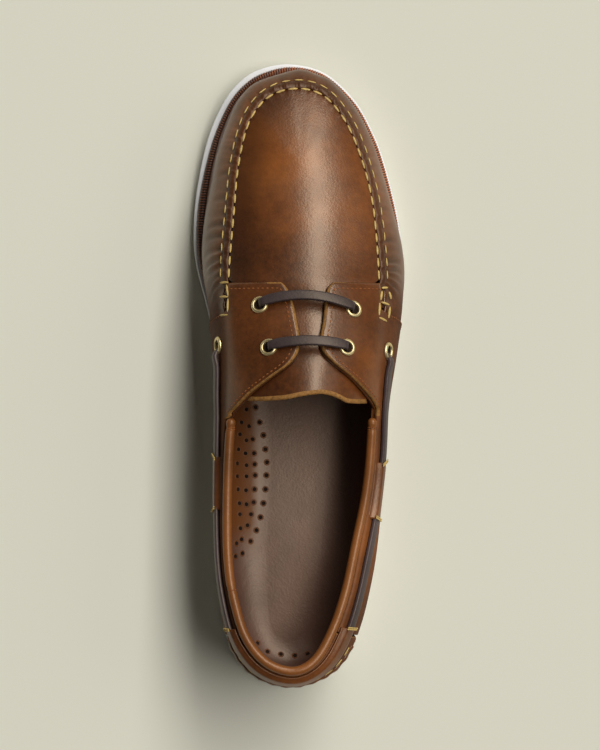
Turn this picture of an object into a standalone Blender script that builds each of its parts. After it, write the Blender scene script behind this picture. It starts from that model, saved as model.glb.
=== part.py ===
"""Right boat shoe: white sole unit, ribbed welt, hollow leather upper and the pieces sewn and laced on it.

Metres, +Z up, +Y to the toe, +X to the outer side, origin under the middle of the shoe on the ground.
The upper is one surface, surface(u, v, h). u runs round the shoe in four legs: 0 to 1 round the toe from
the outer to the inner side, 1 to 2 back along the inner side, 2 to 3 round the heel, 3 to 4 forward along
the outer side. v is 0 at the welt, 1 at the seam or collar and 2 on the crown line. h stands off it.
"""
import math
from functools import lru_cache

import bmesh
import bpy
from mathutils import Vector

MM = 0.001

# Driving sizes
HALF_LENGTH = 149.1 * MM
HALF_WIDTH = 50.3 * MM
FOREFOOT_SOLE = 9 * MM
HEEL_SOLE = 19.5 * MM
TOE_SPRING = 8.5 * MM
ARCH_RISE = 3.4 * MM
COLLAR_HEIGHT = 75.5 * MM
INSTEP_HEIGHT = 90 * MM

# Sole and welt
SOLE_CHAMFER = 1.2 * MM
SOLE_GROOVE = 0.9 * MM
SOLE_LIP = 0.7 * MM
WELT_HEIGHT = 3 * MM
WELT_STEP_INNER = 1.4 * MM
WELT_STEP_OUTER = 0.6 * MM
WELT_SHOW = 3.4 * MM
WELT_SEAT = 1.6 * MM
INSOLE_THICKNESS = 3 * MM
GROOVE_ROWS = (0.52, 0.56, 0.64, 0.68)
SOLE_ROWS = (0.0, 0.5, 0.8)

# Leather
CLEARANCE = 0.3 * MM
OVERLAY_CLEARANCE = 0.4 * MM
TONGUE_CLEARANCE = 0.5 * MM
WALL = 1.8 * MM
OVERLAY = 1.5 * MM
OVERLAY_TOP = OVERLAY_CLEARANCE + OVERLAY
TONGUE_THICKNESS = 2 * MM
SEAM_WIDTH = 5 * MM
SEAM_HEIGHT = 1.3 * MM
ROLL_RADIUS = 2.2 * MM
ROLL_SIDES = 10

# Lacing
LACE_WIDTH = 5 * MM
LACE_THICKNESS = 2 * MM
LACE_CORNER = 0.5 * MM
LACE_BAR_WIDTH = 4.6 * MM
LACE_BAR_STEPS = 14
TUNNEL_WALL = 1 * MM
TUNNEL_FLANGE = 1.6 * MM
EYELET_RADIUS = 4.1 * MM
EYELET_HOLE = 2.5 * MM
EYELET_HEIGHT = 1.1 * MM
EYELET_SIDES = 14

# Places along the shoe, as shares of HALF_LENGTH from the middle
TOE_CENTRE = 0.663
HEEL_CENTRE = -0.759
SADDLE_FRONT = 0.287
THROAT_FRONT = 0.247
SEAM_BACK = 0.205
COLLAR_FRONT = -0.135
TONGUE_FRONT = 0.300
TUNNEL_MEDIAL = (-0.256, -0.421)
TUNNEL_LATERAL = (-0.272, -0.447)

# Places up the surface
GIRTH_V = 0.35
SEAM_V = 0.955

# Fullness of the surface between those places, as shares of the rise or of the reach
FEATHER_FULLNESS = 0.6
SHOULDER_FULLNESS = 0.55
CROWN_FULLNESS = 0.45
PLUG_SHARE = 0.45

# Sections round the shoe
TOE_STEPS = 14
HEEL_STEPS = 12
SIDE_PLACES = (0.600, 0.520, 0.440, 0.360, SADDLE_FRONT, 0.267, THROAT_FRONT, SEAM_BACK, 0.190, 0.175, 0.160,
               0.107, 0.076, 0.040, -0.007, -0.054, -0.085, -0.118, COLLAR_FRONT, -0.235, -0.300, -0.360,
               -0.410, -0.490, -0.620, -0.690)
WALL_ROWS = (0.0, 0.18, GIRTH_V, 0.51, 0.67, 0.84, 1.0)
SHOULDER_STEPS = 4
CROWN_STEPS = 3
SPAN_STEPS = 8
SLOPE_STEP = 0.002
PLACE_TOLERANCE = 0.001

# Heights along the shoe. along: share of HALF_LENGTH. spring: of TOE_SPRING. arch: of ARCH_RISE.
# lift: from FOREFOOT_SOLE to HEEL_SOLE. girth: height of the widest line, of the wall. edge: height of
# the seam or collar, of COLLAR_HEIGHT. crown: of INSTEP_HEIGHT. round: fullness beside the edge.
LAST = (
    # along, spring, arch, lift, girth, edge, crown, round
    (1.000, 1.00, 0.00, 0.00, 0.34, 0.500, 0.430, 0.12),
    (0.905, 0.62, 0.00, 0.00, 0.34, 0.530, 0.450, 0.12),
    (0.824, 0.38, 0.00, 0.00, 0.34, 0.576, 0.533, 0.12),
    (0.710, 0.15, 0.00, 0.00, 0.34, 0.616, 0.606, 0.13),
    (0.583, 0.03, 0.00, 0.00, 0.35, 0.662, 0.664, 0.14),
    (0.495, 0.00, 0.00, 0.00, 0.36, 0.700, 0.705, 0.15),
    (0.328, 0.00, 0.00, 0.02, 0.38, 0.768, 0.789, 0.18),
    (0.214, 0.00, 0.00, 0.05, 0.42, 0.834, 0.856, 0.20),
    (0.107, 0.00, 0.00, 0.08, 0.45, 0.874, 0.917, 0.22),
    (0.026, 0.00, 0.00, 0.14, 0.48, 0.881, 0.961, 0.24),
    (-0.074, 0.00, 0.00, 0.20, 0.50, 0.874, 1.000, 0.26),
    (-0.135, 0.00, 0.14, 0.27, 0.50, 0.861, 1.010, 0.26),
    (-0.235, 0.00, 0.60, 0.42, 0.50, 0.840, 1.010, 0.26),
    (-0.356, 0.00, 1.00, 0.62, 0.50, 0.826, 1.010, 0.26),
    (-0.410, 0.00, 1.00, 0.70, 0.50, 0.828, 1.010, 0.26),
    (-0.443, 0.00, 0.00, 0.75, 0.50, 0.833, 1.010, 0.26),
    (-0.604, 0.00, 0.00, 0.91, 0.50, 0.879, 1.010, 0.26),
    (-0.725, 0.00, 0.00, 0.97, 0.50, 0.932, 1.010, 0.26),
    (-0.826, 0.00, 0.00, 1.00, 0.50, 0.967, 1.010, 0.26),
    (-0.946, 0.00, 0.00, 1.00, 0.50, 1.000, 1.010, 0.26),
    (-1.000, 0.00, 0.45, 1.00, 0.50, 1.000, 1.010, 0.26),
)

# Crown line seen from above. across: share of HALF_WIDTH.
CROWN_LINE = (
    # along, across
    (0.663, -0.016),
    (0.328, 0.024),
    (0.093, 0.048),
    (-0.209, 0.014),
    (-0.759, -0.105),
)

# Throat edges seen from above, as shares of HALF_WIDTH.
THROAT = (
    # along, inner, outer
    (0.292, -0.264, 0.292),
    (0.284, -0.199, 0.254),
    (0.262, -0.145, 0.203),
    (0.221, -0.101, 0.183),
    (0.160, -0.066, 0.160),
    (0.107, -0.044, 0.131),
    (0.076, -0.054, 0.147),
    (0.040, -0.117, 0.239),
    (-0.007, -0.298, 0.412),
    (-0.054, -0.477, 0.553),
    (-0.085, -0.567, 0.630),
    (-0.118, -0.657, 0.684),
)

# Lower edge of the quarter overlays up the wall.
QUARTER_EDGE = (
    # along, v
    (0.287, 1.020),
    (0.205, 1.020),
    (0.190, 0.900),
    (0.175, 0.640),
    (0.160, 0.370),
    (0.107, 0.120),
    (-1.000, 0.060),
)

# Middle of the lace that runs along the quarters.
LACE_LINE = (
    # along, inner v, outer v
    (0.093, 0.785, 0.900),
    (0.046, 0.765, 0.898),
    (-0.048, 0.745, 0.892),
    (-0.142, 0.770, 0.878),
    (-0.251, 0.800, 0.850),
    (-0.427, 0.815, 0.845),
    (-0.516, 0.835, 0.860),
    (-0.604, 0.850, 0.876),
    (-0.700, 0.865, 0.882),
    (-0.780, 0.870, 0.878),
    (-0.850, 0.862, 0.862),
    (-1.000, 0.850, 0.850),
)

# Rear edge of the tongue seen from above. across: of HALF_WIDTH. along: of HALF_LENGTH.
TONGUE_END = (
    # across, along
    (-0.430, -0.080),
    (-0.210, -0.073),
    (-0.030, -0.061),
    (0.150, -0.055),
    (0.245, -0.060),
    (0.340, -0.072),
    (0.433, -0.087),
    (0.520, -0.090),
)
TONGUE_COLUMNS = 10
TONGUE_ROWS = 9
TONGUE_TAPER = 0.12

# Outlines seen from above, anticlockwise from the toe: (across, along) as shares.
SOLE_OUTLINE = (
    (-0.076, 1.000), (-0.362, 0.985), (-0.553, 0.947), (-0.718, 0.878), (-0.869, 0.759), (-0.970, 0.597),
    (-1.000, 0.467), (-0.978, 0.362), (-0.889, 0.241), (-0.803, 0.113), (-0.744, -0.041), (-0.716, -0.209),
    (-0.724, -0.410), (-0.748, -0.611), (-0.736, -0.759), (-0.652, -0.873), (-0.463, -0.956),
    (-0.105, -1.000), (0.252, -0.956), (0.445, -0.873), (0.541, -0.759), (0.616, -0.611), (0.680, -0.410),
    (0.736, -0.209), (0.811, -0.041), (0.899, 0.113), (0.970, 0.261), (1.000, 0.395), (0.950, 0.529),
    (0.823, 0.693), (0.708, 0.791), (0.537, 0.887), (0.252, 0.972),
)
GIRTH_OUTLINE = (
    (-0.070, 0.972), (-0.382, 0.940), (-0.533, 0.900), (-0.640, 0.841), (-0.776, 0.717), (-0.853, 0.590),
    (-0.921, 0.449), (-0.914, 0.315), (-0.845, 0.207), (-0.799, 0.087), (-0.775, -0.048), (-0.771, -0.242),
    (-0.771, -0.443), (-0.757, -0.611), (-0.712, -0.759), (-0.606, -0.867), (-0.421, -0.935),
    (-0.105, -0.965), (0.213, -0.935), (0.404, -0.872), (0.534, -0.768), (0.640, -0.618), (0.694, -0.490),
    (0.732, -0.343), (0.768, -0.209), (0.792, -0.088), (0.846, 0.026), (0.903, 0.140), (0.984, 0.294),
    (0.968, 0.408), (0.884, 0.526), (0.724, 0.717), (0.549, 0.845), (0.314, 0.937), (0.170, 0.961),
    (0.040, 0.975),
)
EDGE_OUTLINE = (
    (-0.036, 0.912), (-0.268, 0.893), (-0.419, 0.845), (-0.525, 0.773), (-0.602, 0.645), (-0.636, 0.517),
    (-0.672, 0.390), (-0.692, 0.286), (-0.688, 0.190), (-0.676, 0.107), (-0.672, 0.010), (-0.682, -0.074),
    (-0.686, -0.135), (-0.705, -0.242), (-0.717, -0.410), (-0.710, -0.571), (-0.664, -0.691),
    (-0.557, -0.814), (-0.368, -0.894), (-0.109, -0.923), (0.105, -0.892), (0.269, -0.811),
    (0.416, -0.675), (0.522, -0.517), (0.594, -0.396), (0.638, -0.276), (0.662, -0.135), (0.682, -0.034),
    (0.704, 0.073), (0.714, 0.194), (0.709, 0.296), (0.692, 0.422), (0.657, 0.549), (0.569, 0.676),
    (0.425, 0.799), (0.216, 0.888),
)

# Eyelets: places seen from above, except the side ones, which sit on the lace line.
EYELETS_ON_TOP = (
    # name, along, across
    ("eyelet_front_medial", 0.213, -0.396),
    ("eyelet_rear_medial", 0.082, -0.318),
    ("eyelet_front_lateral", 0.200, 0.435),
    ("eyelet_rear_lateral", 0.082, 0.366),
)
SIDE_EYELET_MEDIAL = 0.093
SIDE_EYELET_LATERAL = 0.075
LACE_END_STEP = 0.01

# Lace bars: how far the middle of each bows forward of its eyelets.
FRONT_BAR_BOW = 4.3 * MM
REAR_BAR_BOW = 2.0 * MM

# Colours and roughness of the materials
FINISHES = {
    "white_rubber": ((0.76, 0.76, 0.72), 0.55, 0.0),
    "welt_leather": ((0.36, 0.17, 0.06), 0.6, 0.0),
    "brown_leather": ((0.13, 0.055, 0.025), 0.4, 0.0),
    "insole_leather": ((0.12, 0.065, 0.045), 0.6, 0.0),
    "tan_leather": ((0.30, 0.13, 0.04), 0.45, 0.0),
    "lace_leather": ((0.035, 0.018, 0.014), 0.55, 0.0),
    "brass": ((0.62, 0.46, 0.17), 0.3, 1.0),
}


def smooth(rows, column):
    """A curve through one column of a table whose first column falls or rises, without overshoot."""
    pairs = sorted((row[0], row[column]) for row in rows)
    xs = [pair[0] for pair in pairs]
    ys = [pair[1] for pair in pairs]
    last = len(xs) - 1
    steps = [(ys[i + 1] - ys[i]) / (xs[i + 1] - xs[i]) for i in range(last)]
    slopes = [steps[0]] + [0.0] * (last - 1) + [steps[-1]]
    for i in range(1, last):
        if steps[i - 1] * steps[i] > 0:
            slopes[i] = 2 * steps[i - 1] * steps[i] / (steps[i - 1] + steps[i])

    def value(x):
        if x <= xs[0]:
            return ys[0]
        if x >= xs[-1]:
            return ys[-1]
        i = next(k for k in range(last) if x <= xs[k + 1])
        span = xs[i + 1] - xs[i]
        t = (x - xs[i]) / span
        return (ys[i] * (1 + 2 * t) * (1 - t) ** 2 + slopes[i] * span * t * (1 - t) ** 2
                + ys[i + 1] * t * t * (3 - 2 * t) + slopes[i + 1] * span * t * t * (t - 1))

    return value


spring = smooth(LAST, 1)
arch = smooth(LAST, 2)
lift = smooth(LAST, 3)
girth_height = smooth(LAST, 4)
edge_height = smooth(LAST, 5)
crown_height = smooth(LAST, 6)
fullness = smooth(LAST, 7)
crown_across = smooth(CROWN_LINE, 1)
throat_inner = smooth(THROAT, 1)
throat_outer = smooth(THROAT, 2)
quarter_edge = smooth(QUARTER_EDGE, 1)
lace_inner = smooth(LACE_LINE, 1)
lace_outer = smooth(LACE_LINE, 2)
tongue_end = smooth(TONGUE_END, 1)


def closed_curve(points):
    """Dense points of a smooth closed curve through an outline's shares, in metres."""
    corners = [Vector((x * HALF_WIDTH, y * HALF_LENGTH)) for x, y in points]
    count = len(corners)
    curve = []
    for i in range(count):
        before, start, end, after = (corners[(i + k) % count] for k in (-1, 0, 1, 2))
        for step in range(SPAN_STEPS):
            t = step / SPAN_STEPS
            curve.append(0.5 * (2 * start + (end - before) * t
                                + (2 * before - 5 * start + 4 * end - after) * t * t
                                + (3 * start - before - 3 * end + after) * t ** 3))
    return curve


SOLE_CURVE = closed_curve(SOLE_OUTLINE)
GIRTH_CURVE = closed_curve(GIRTH_OUTLINE)
EDGE_CURVE = closed_curve(EDGE_OUTLINE)


def reach(curve, origin, direction):
    """Distance from origin along direction to a closed curve."""
    side = Vector((-direction.y, direction.x))
    offsets = [(point - origin).dot(side) for point in curve]
    for i, offset in enumerate(offsets):
        following = offsets[i - len(offsets) + 1]
        if (offset < 0) == (following < 0):
            continue
        t = offset / (offset - following)
        hit = curve[i].lerp(curve[i - len(curve) + 1], t) - origin
        if hit.dot(direction) > 0:
            return hit.dot(direction)
    raise ValueError("a curve doesn't go round its middle")


def ground(along):
    """Underside of the sole."""
    return spring(along) * TOE_SPRING + arch(along) * ARCH_RISE


def sole_top(along):
    """Ledge of the sole that carries the welt."""
    return spring(along) * TOE_SPRING + FOREFOOT_SOLE + lift(along) * (HEEL_SOLE - FOREFOOT_SOLE)


def crown_rise(along):
    """Slope of the crown line towards the toe."""
    return ((crown_height(along + SLOPE_STEP) - crown_height(along - SLOPE_STEP)) * INSTEP_HEIGHT
            / (2 * SLOPE_STEP * HALF_LENGTH))


def feather_height(along):
    """Bottom of the upper, just clear of the welt."""
    return sole_top(along) + WELT_HEIGHT + 1.5 * CLEARANCE


class Section:
    """One upright half section of the shoe: where it stands and what it crosses."""

    def __init__(self, u):
        leg = int(u) % 4
        share = u - int(u)
        turn = math.pi * share
        if leg == 0:
            along = TOE_CENTRE
            self.direction = Vector((math.cos(turn), math.sin(turn)))
        elif leg == 1:
            along = TOE_CENTRE + (HEEL_CENTRE - TOE_CENTRE) * share
            self.direction = Vector((-1.0, 0.0))
        elif leg == 2:
            along = HEEL_CENTRE
            self.direction = Vector((-math.cos(turn), -math.sin(turn)))
        else:
            along = HEEL_CENTRE + (TOE_CENTRE - HEEL_CENTRE) * share
            self.direction = Vector((1.0, 0.0))
        self.along = along
        self.straight = leg in (1, 3)
        self.origin = Vector((crown_across(along) * HALF_WIDTH, along * HALF_LENGTH))
        inward = (1 - self.direction.x) / 2
        self.sole = reach(SOLE_CURVE, self.origin, self.direction)
        self.welt = self.sole - WELT_STEP_OUTER - (WELT_STEP_INNER - WELT_STEP_OUTER) * inward
        self.feather = self.welt - WELT_SHOW
        self.seat = self.feather - WALL - WELT_SEAT
        self.girth = reach(GIRTH_CURVE, self.origin, self.direction)
        self.edge = reach(EDGE_CURVE, self.origin, self.direction)
        self.feather_z = feather_height(self.share_at(self.feather))
        self.edge_z = edge_height(self.share_at(self.edge)) * COLLAR_HEIGHT
        rise = girth_height(self.share_at(self.girth))
        self.girth_z = self.feather_z + rise * (self.edge_z - self.feather_z)
        self.crown_z = crown_height(along) * INSTEP_HEIGHT
        self.crown_slope = self.direction.y * crown_rise(along)

    def share_at(self, distance):
        """Place along the shoe of a point of this section, as a share of HALF_LENGTH."""
        return (self.origin.y + self.direction.y * distance) / HALF_LENGTH

    def place(self, distance, z):
        flat = self.origin + self.direction * distance
        return Vector((flat.x, flat.y, z))

    def profile(self, v):
        """Distance and height of the surface's point v."""
        if v <= GIRTH_V:
            t = v / GIRTH_V
            middle = (self.girth, self.feather_z + FEATHER_FULLNESS * (self.girth_z - self.feather_z))
            return bezier((self.feather, self.feather_z), middle, (self.girth, self.girth_z), t)
        if v <= 1:
            t = (v - GIRTH_V) / (1 - GIRTH_V)
            return bezier((self.girth, self.girth_z), self.shoulder(), (self.edge, self.edge_z), t)
        t = v - 1
        knee = self.shoulder()
        tangent = Vector((self.edge - knee[0], self.edge_z - knee[1])).normalized()
        length = fullness(self.along) * self.edge
        first = (self.edge + tangent.x * length, self.edge_z + tangent.y * length)
        reach_in = CROWN_FULLNESS * self.edge
        second = (reach_in, self.crown_z + self.crown_slope * reach_in)
        return tuple((1 - t) ** 3 * a + 3 * t * (1 - t) ** 2 * b + 3 * t * t * (1 - t) * c + t ** 3 * d
                     for a, b, c, d in zip((self.edge, self.edge_z), first, second, (0.0, self.crown_z)))

    def shoulder(self):
        """Control point between the widest line and the edge."""
        return (self.girth, self.girth_z + SHOULDER_FULLNESS * (self.edge_z - self.girth_z))


def bezier(start, middle, end, t):
    return tuple((1 - t) ** 2 * a + 2 * t * (1 - t) * b + t * t * c for a, b, c in zip(start, middle, end))


@lru_cache(maxsize=None)
def section(u):
    return Section(u % 4)


@lru_cache(maxsize=None)
def frame_at(u, v):
    """Point of the surface, its outward normal and the direction up it."""
    here = section(u)
    point = here.place(*here.profile(v))
    step = SLOPE_STEP
    if v > 2 - step:
        normal = Vector((0, -crown_rise(here.along), 1)).normalized()
        inward = -here.direction
        upward = Vector((inward.x, inward.y, 0))
        return point, normal, upward
    low, high = max(v - step, 0), v + step
    if low < 1 < high:
        low, high = 1 - 2 * step, 1
    upward = (here.place(*here.profile(high)) - here.place(*here.profile(low))).normalized()
    ahead, behind = section(u + step), section(u - step)
    onward = ahead.place(*ahead.profile(v)) - behind.place(*behind.profile(v))
    normal = onward.cross(upward).normalized()
    outward = Vector((here.direction.x, here.direction.y, 0))
    if normal.dot(outward) + normal.z < 0:
        normal.negate()
    return point, normal, upward


def surface(u, v, h=0.0):
    point, normal, _ = frame_at(u, v)
    return point + normal * h


def at(side, along):
    """u of the straight section at a place along the shoe; side is -1 inner, 1 outer."""
    share = (TOE_CENTRE - along) / (TOE_CENTRE - HEEL_CENTRE)
    return 1 + share if side < 0 else 4 - share


def v_at(u, distance):
    """v of the surface's point at a distance from the crown line, above the edge."""
    low, high = 1.0, 2.0
    for _ in range(30):
        middle = (low + high) / 2
        if section(u).profile(middle)[0] > distance:
            low = middle
        else:
            high = middle
    return high


def over(along, across):
    """(u, v) of the top surface's point at a place seen from above, in shares."""
    aside = (across - crown_across(along)) * HALF_WIDTH
    u = at(1 if aside > 0 else -1, along)
    return u, v_at(u, abs(aside))


def toe_legs():
    return [step / TOE_STEPS for step in range(TOE_STEPS + 1)]


def heel_legs():
    return [2 + step / HEEL_STEPS for step in range(HEEL_STEPS + 1)]


def loop():
    """u of every section, once round the shoe."""
    return (toe_legs() + [at(-1, place) for place in SIDE_PLACES]
            + heel_legs() + [at(1, place) for place in reversed(SIDE_PLACES)])


def throat_v(u):
    """v of the throat edge, or of a line half way up the plug in front of it."""
    here = section(u)
    if here.along <= COLLAR_FRONT:
        return 1.0
    if not here.straight or here.along > THROAT[0][0]:
        return v_at(u, here.edge * PLUG_SHARE)
    across = throat_inner(here.along) if here.direction.x < 0 else throat_outer(here.along)
    distance = abs(across - crown_across(here.along)) * HALF_WIDTH
    return v_at(u, min(distance, here.edge))


def add_object(name, mesh, finish):
    """An object of the scene with its material, smooth but for its sharp edges."""
    mesh.shade_smooth()
    mesh.set_sharp_from_angle(angle=math.radians(40))
    mesh.materials.append(bpy.data.materials[finish])
    made = bpy.data.objects.new(name, mesh)
    bpy.context.collection.objects.link(made)
    return made


def finished_mesh(name, points, faces):
    """A mesh with its doubles merged and its faces pointing out."""
    shape = bmesh.new()
    corners = [shape.verts.new(point) for point in points]
    for face in faces:
        shape.faces.new([corners[k] for k in face])
    bmesh.ops.remove_doubles(shape, verts=shape.verts, dist=0.001 * MM)
    bmesh.ops.triangulate(shape, faces=shape.faces)
    bmesh.ops.recalc_face_normals(shape, faces=shape.faces)
    mesh = bpy.data.meshes.new(name)
    shape.to_mesh(mesh)
    shape.free()
    return mesh


def layer(name, columns, low, high, finish):
    """A closed sheet between two heights over the surface; a column is a list of (u, v) or None."""
    known = {}
    spots = []

    def corner(spot):
        key = tuple(round(c / MM, 3) for c in surface(*spot))
        if key not in known:
            known[key] = len(spots)
            spots.append(spot)
        return known[key]

    faces = []
    for near, far in zip(columns, columns[1:]):
        for row in range(len(near) - 1):
            ring = (near[row], far[row], far[row + 1], near[row + 1])
            if None in ring:
                continue
            face = list(dict.fromkeys(corner(spot) for spot in ring))
            if len(face) > 2:
                faces.append(face)
    edges = {}
    for face in faces:
        for a, b in zip(face, face[1:] + face[:1]):
            edges[(a, b)] = (b, a) not in edges and edges.get((a, b), True)
            if (b, a) in edges:
                edges[(b, a)] = False
    count = len(spots)
    walls = [(a, b, b + count, a + count) for (a, b), rim in edges.items() if rim]
    under = [[k + count for k in reversed(face)] for face in faces]
    points = [surface(*spot, high) for spot in spots] + [surface(*spot, low) for spot in spots]
    return add_object(name, finished_mesh(name, points, faces + under + walls), finish)


def tube(name, rings, finish, closed=False):
    """A solid through rings of points, with flat ends unless it closes on itself."""
    size = len(rings[0])
    points = [point for ring in rings for point in ring]
    count = len(rings)
    faces = []
    for i in range(count if closed else count - 1):
        for j in range(size):
            k = (j + 1) % size
            following = (i + 1) % count
            faces.append((i * size + j, i * size + k, following * size + k, following * size + j))
    if not closed:
        faces.append(tuple(range(size)))
        faces.append(tuple((count - 1) * size + j for j in range(size)))
    return add_object(name, finished_mesh(name, points, faces), finish)


def rail(name, stations, outline, finish):
    """A strip of one cross section along the surface; stations are (u, v), outline is (up, off)."""
    rings = []
    for u, v in stations:
        point, normal, upward = frame_at(u, v)
        rings.append([point + upward * up + normal * off for up, off in outline])
    return tube(name, rings, finish)


def make_materials():
    for name, (colour, roughness, metallic) in FINISHES.items():
        material = bpy.data.materials.new(name)
        material.use_nodes = True
        shader = material.node_tree.nodes["Principled BSDF"]
        shader.inputs["Base Color"].default_value = (*colour, 1)
        shader.inputs["Roughness"].default_value = roughness
        shader.inputs["Metallic"].default_value = metallic


def make_outsole():
    """Sole unit with heel breast, arch, toe spring, a groove round its side and a ledge for the welt."""
    columns = []
    for u in loop():
        here = section(u)
        side = here.share_at(here.sole)
        bottom, top = ground(side), sole_top(side)
        groove_low, groove_bottom, groove_roof, groove_high = (bottom + row * (top - bottom)
                                                               for row in GROOVE_ROWS)
        ledge = here.seat
        inner = sole_top(here.share_at(ledge))
        column = [here.place(share * here.sole, ground(here.share_at(share * here.sole)))
                  for share in SOLE_ROWS]
        column += [
            here.place(here.sole - SOLE_CHAMFER, ground(here.share_at(here.sole - SOLE_CHAMFER))),
            here.place(here.sole, bottom + SOLE_CHAMFER),
            here.place(here.sole, groove_low),
            here.place(here.sole - SOLE_GROOVE, groove_bottom),
            here.place(here.sole - SOLE_GROOVE, groove_roof),
            here.place(here.sole, groove_high),
            here.place(here.sole, top - SOLE_LIP),
            here.place(here.sole - SOLE_LIP, sole_top(here.share_at(here.sole - SOLE_LIP))),
            here.place(ledge, inner),
            here.place(ledge, inner + WELT_HEIGHT),
            here.place(0.5 * ledge, sole_top(here.share_at(0.5 * ledge)) + WELT_HEIGHT),
            here.place(0.0, sole_top(here.along) + WELT_HEIGHT),
        ]
        columns.append(column)
    columns.append(columns[0])
    add_object("outsole", finished_grid("outsole", columns), "white_rubber")


def finished_grid(name, columns):
    """A mesh through columns of points, where doubled points close its poles and spines."""
    known = {}
    points = []

    def corner(point):
        key = tuple(round(c / MM, 3) for c in point)
        if key not in known:
            known[key] = len(points)
            points.append(point)
        return known[key]

    faces = []
    for near, far in zip(columns, columns[1:]):
        for row in range(len(near) - 1):
            ring = (near[row], far[row], far[row + 1], near[row + 1])
            face = list(dict.fromkeys(corner(point) for point in ring))
            if len(face) > 2:
                faces.append(face)
    return finished_mesh(name, points, faces)


def make_welt():
    """Strip that lies on the sole's ledge and carries the upper."""
    rings = []
    for u in loop():
        here = section(u)
        inner = here.seat + CLEARANCE
        profile = (
            (here.welt, CLEARANCE),
            (here.welt, 0.6 * WELT_HEIGHT),
            (here.welt - 0.3 * WELT_SHOW, 0.95 * WELT_HEIGHT),
            (here.welt - 0.6 * WELT_SHOW, WELT_HEIGHT),
            (inner, WELT_HEIGHT),
            (inner, CLEARANCE),
        )
        rings.append([here.place(d, sole_top(here.share_at(d)) + z) for d, z in profile])
    tube("welt", rings, "welt_leather", closed=True)


def make_insole():
    """Sock that lies on the sole, inside the upper."""
    columns = []
    for u in loop():
        here = section(u)
        rim = here.feather - WALL - 3 * CLEARANCE
        places = [0.0, 0.5 * rim, rim]
        low = [here.place(d, feather_height(here.share_at(d))) for d in places]
        high = [here.place(d, feather_height(here.share_at(d)) + INSOLE_THICKNESS) for d in places]
        columns.append(low + high[::-1])
    columns.append(columns[0])
    add_object("insole", finished_grid("insole", columns), "insole_leather")


def surface_column(u, top_v, bottom_v=0.0, crown=False):
    """Places up one section: the wall, the shoulder up to top_v, and the crown where it is closed."""
    column = [(u, max(row, bottom_v)) for row in WALL_ROWS]
    column += [(u, 1 + (top_v - 1) * step / SHOULDER_STEPS) for step in range(1, SHOULDER_STEPS + 1)]
    for step in range(1, CROWN_STEPS + 1):
        column.append((u, top_v + (2 - top_v) * step / CROWN_STEPS) if crown else None)
    return column


def make_upper():
    """Hollow shell: vamp wall, plug and inner quarters, open underneath and from the throat back."""
    columns = []
    for u in loop():
        closed = section(u).along >= THROAT_FRONT - PLACE_TOLERANCE
        columns.append(surface_column(u, throat_v(u), crown=closed))
    columns.append(columns[0])
    layer("upper", columns, -WALL, 0.0, "brown_leather")


def make_moc_seam():
    """Raised hand-sewn seam round the plug, from quarter to quarter."""
    end = SEAM_BACK + 2 * CLEARANCE / HALF_LENGTH
    front = [place for place in SIDE_PLACES if place > end] + [end]
    round_toe = ([at(1, place) for place in reversed(front)] + toe_legs()
                 + [at(-1, place) for place in front])
    half = SEAM_WIDTH / 2
    outline = ((-half, CLEARANCE), (-0.85 * half, 0.8 * SEAM_HEIGHT), (-0.4 * half, SEAM_HEIGHT),
               (0.4 * half, SEAM_HEIGHT), (0.85 * half, 0.8 * SEAM_HEIGHT), (half, CLEARANCE))
    rail("moc_seam", [(u, SEAM_V) for u in round_toe], outline, "brown_leather")


def quarter_rear_leg(side):
    """u of the heel section where a quarter meets the counter."""
    return 2 + 1 / HEEL_STEPS if side < 0 else 3 - 1 / HEEL_STEPS


def make_quarters():
    """Overlays from the throat and the saddle's front edge back to the heel counter."""
    for side, name in ((-1, "quarter_medial"), (1, "quarter_lateral")):
        places = [place for place in SIDE_PLACES if place <= SADDLE_FRONT] + [HEEL_CENTRE]
        columns = []
        for place in places:
            u = at(side, place)
            top = throat_v(u) if place > COLLAR_FRONT else 1.0
            columns.append(surface_column(u, top, quarter_edge(place)))
        columns.append(surface_column(quarter_rear_leg(side), 1.0, quarter_edge(HEEL_CENTRE)))
        layer(name, columns, OVERLAY_CLEARANCE, OVERLAY_TOP, "brown_leather")


def make_heel_counter():
    """Overlay round the back, between the quarters."""
    trim = 1.5 * CLEARANCE / (math.pi * section(2.5).girth)
    legs = [leg for leg in heel_legs() if quarter_rear_leg(-1) + trim < leg < quarter_rear_leg(1) - trim]
    legs = [quarter_rear_leg(-1) + trim] + legs + [quarter_rear_leg(1) - trim]
    columns = [surface_column(u, 1.0, quarter_edge(HEEL_CENTRE)) for u in legs]
    layer("heel_counter", columns, OVERLAY_CLEARANCE, OVERLAY_TOP, "brown_leather")


def rear_loop(front):
    """u of the sections from a place on the inner side round the heel to the same on the outer side."""
    places = [front] + [place for place in SIDE_PLACES if place < front - PLACE_TOLERANCE]
    return ([at(-1, place) for place in places] + heel_legs()
            + [at(1, place) for place in reversed(places)])


def make_collar_roll():
    """Padded binding along the top edge of the quarters."""
    lift_off = CLEARANCE + ROLL_RADIUS
    outline = [(lift_off + ROLL_RADIUS * math.sin(math.tau * k / ROLL_SIDES),
                ROLL_RADIUS * math.cos(math.tau * k / ROLL_SIDES)) for k in range(ROLL_SIDES)]
    rail("collar_roll", [(u, 1.0) for u in rear_loop(COLLAR_FRONT)], outline, "tan_leather")


def lace_v(u):
    """v of the side lace's middle."""
    here = section(u)
    line = lace_inner if here.direction.x < 0 else lace_outer
    return line(here.share_at(here.edge))


def lace_outline(half, low):
    """Cross section of a flat lace: (up or aside, off)."""
    high = low + LACE_THICKNESS
    return ((-half, low), (half, low), (half, high - LACE_CORNER), (half - LACE_CORNER, high),
            (LACE_CORNER - half, high), (-half, high - LACE_CORNER))


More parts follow.
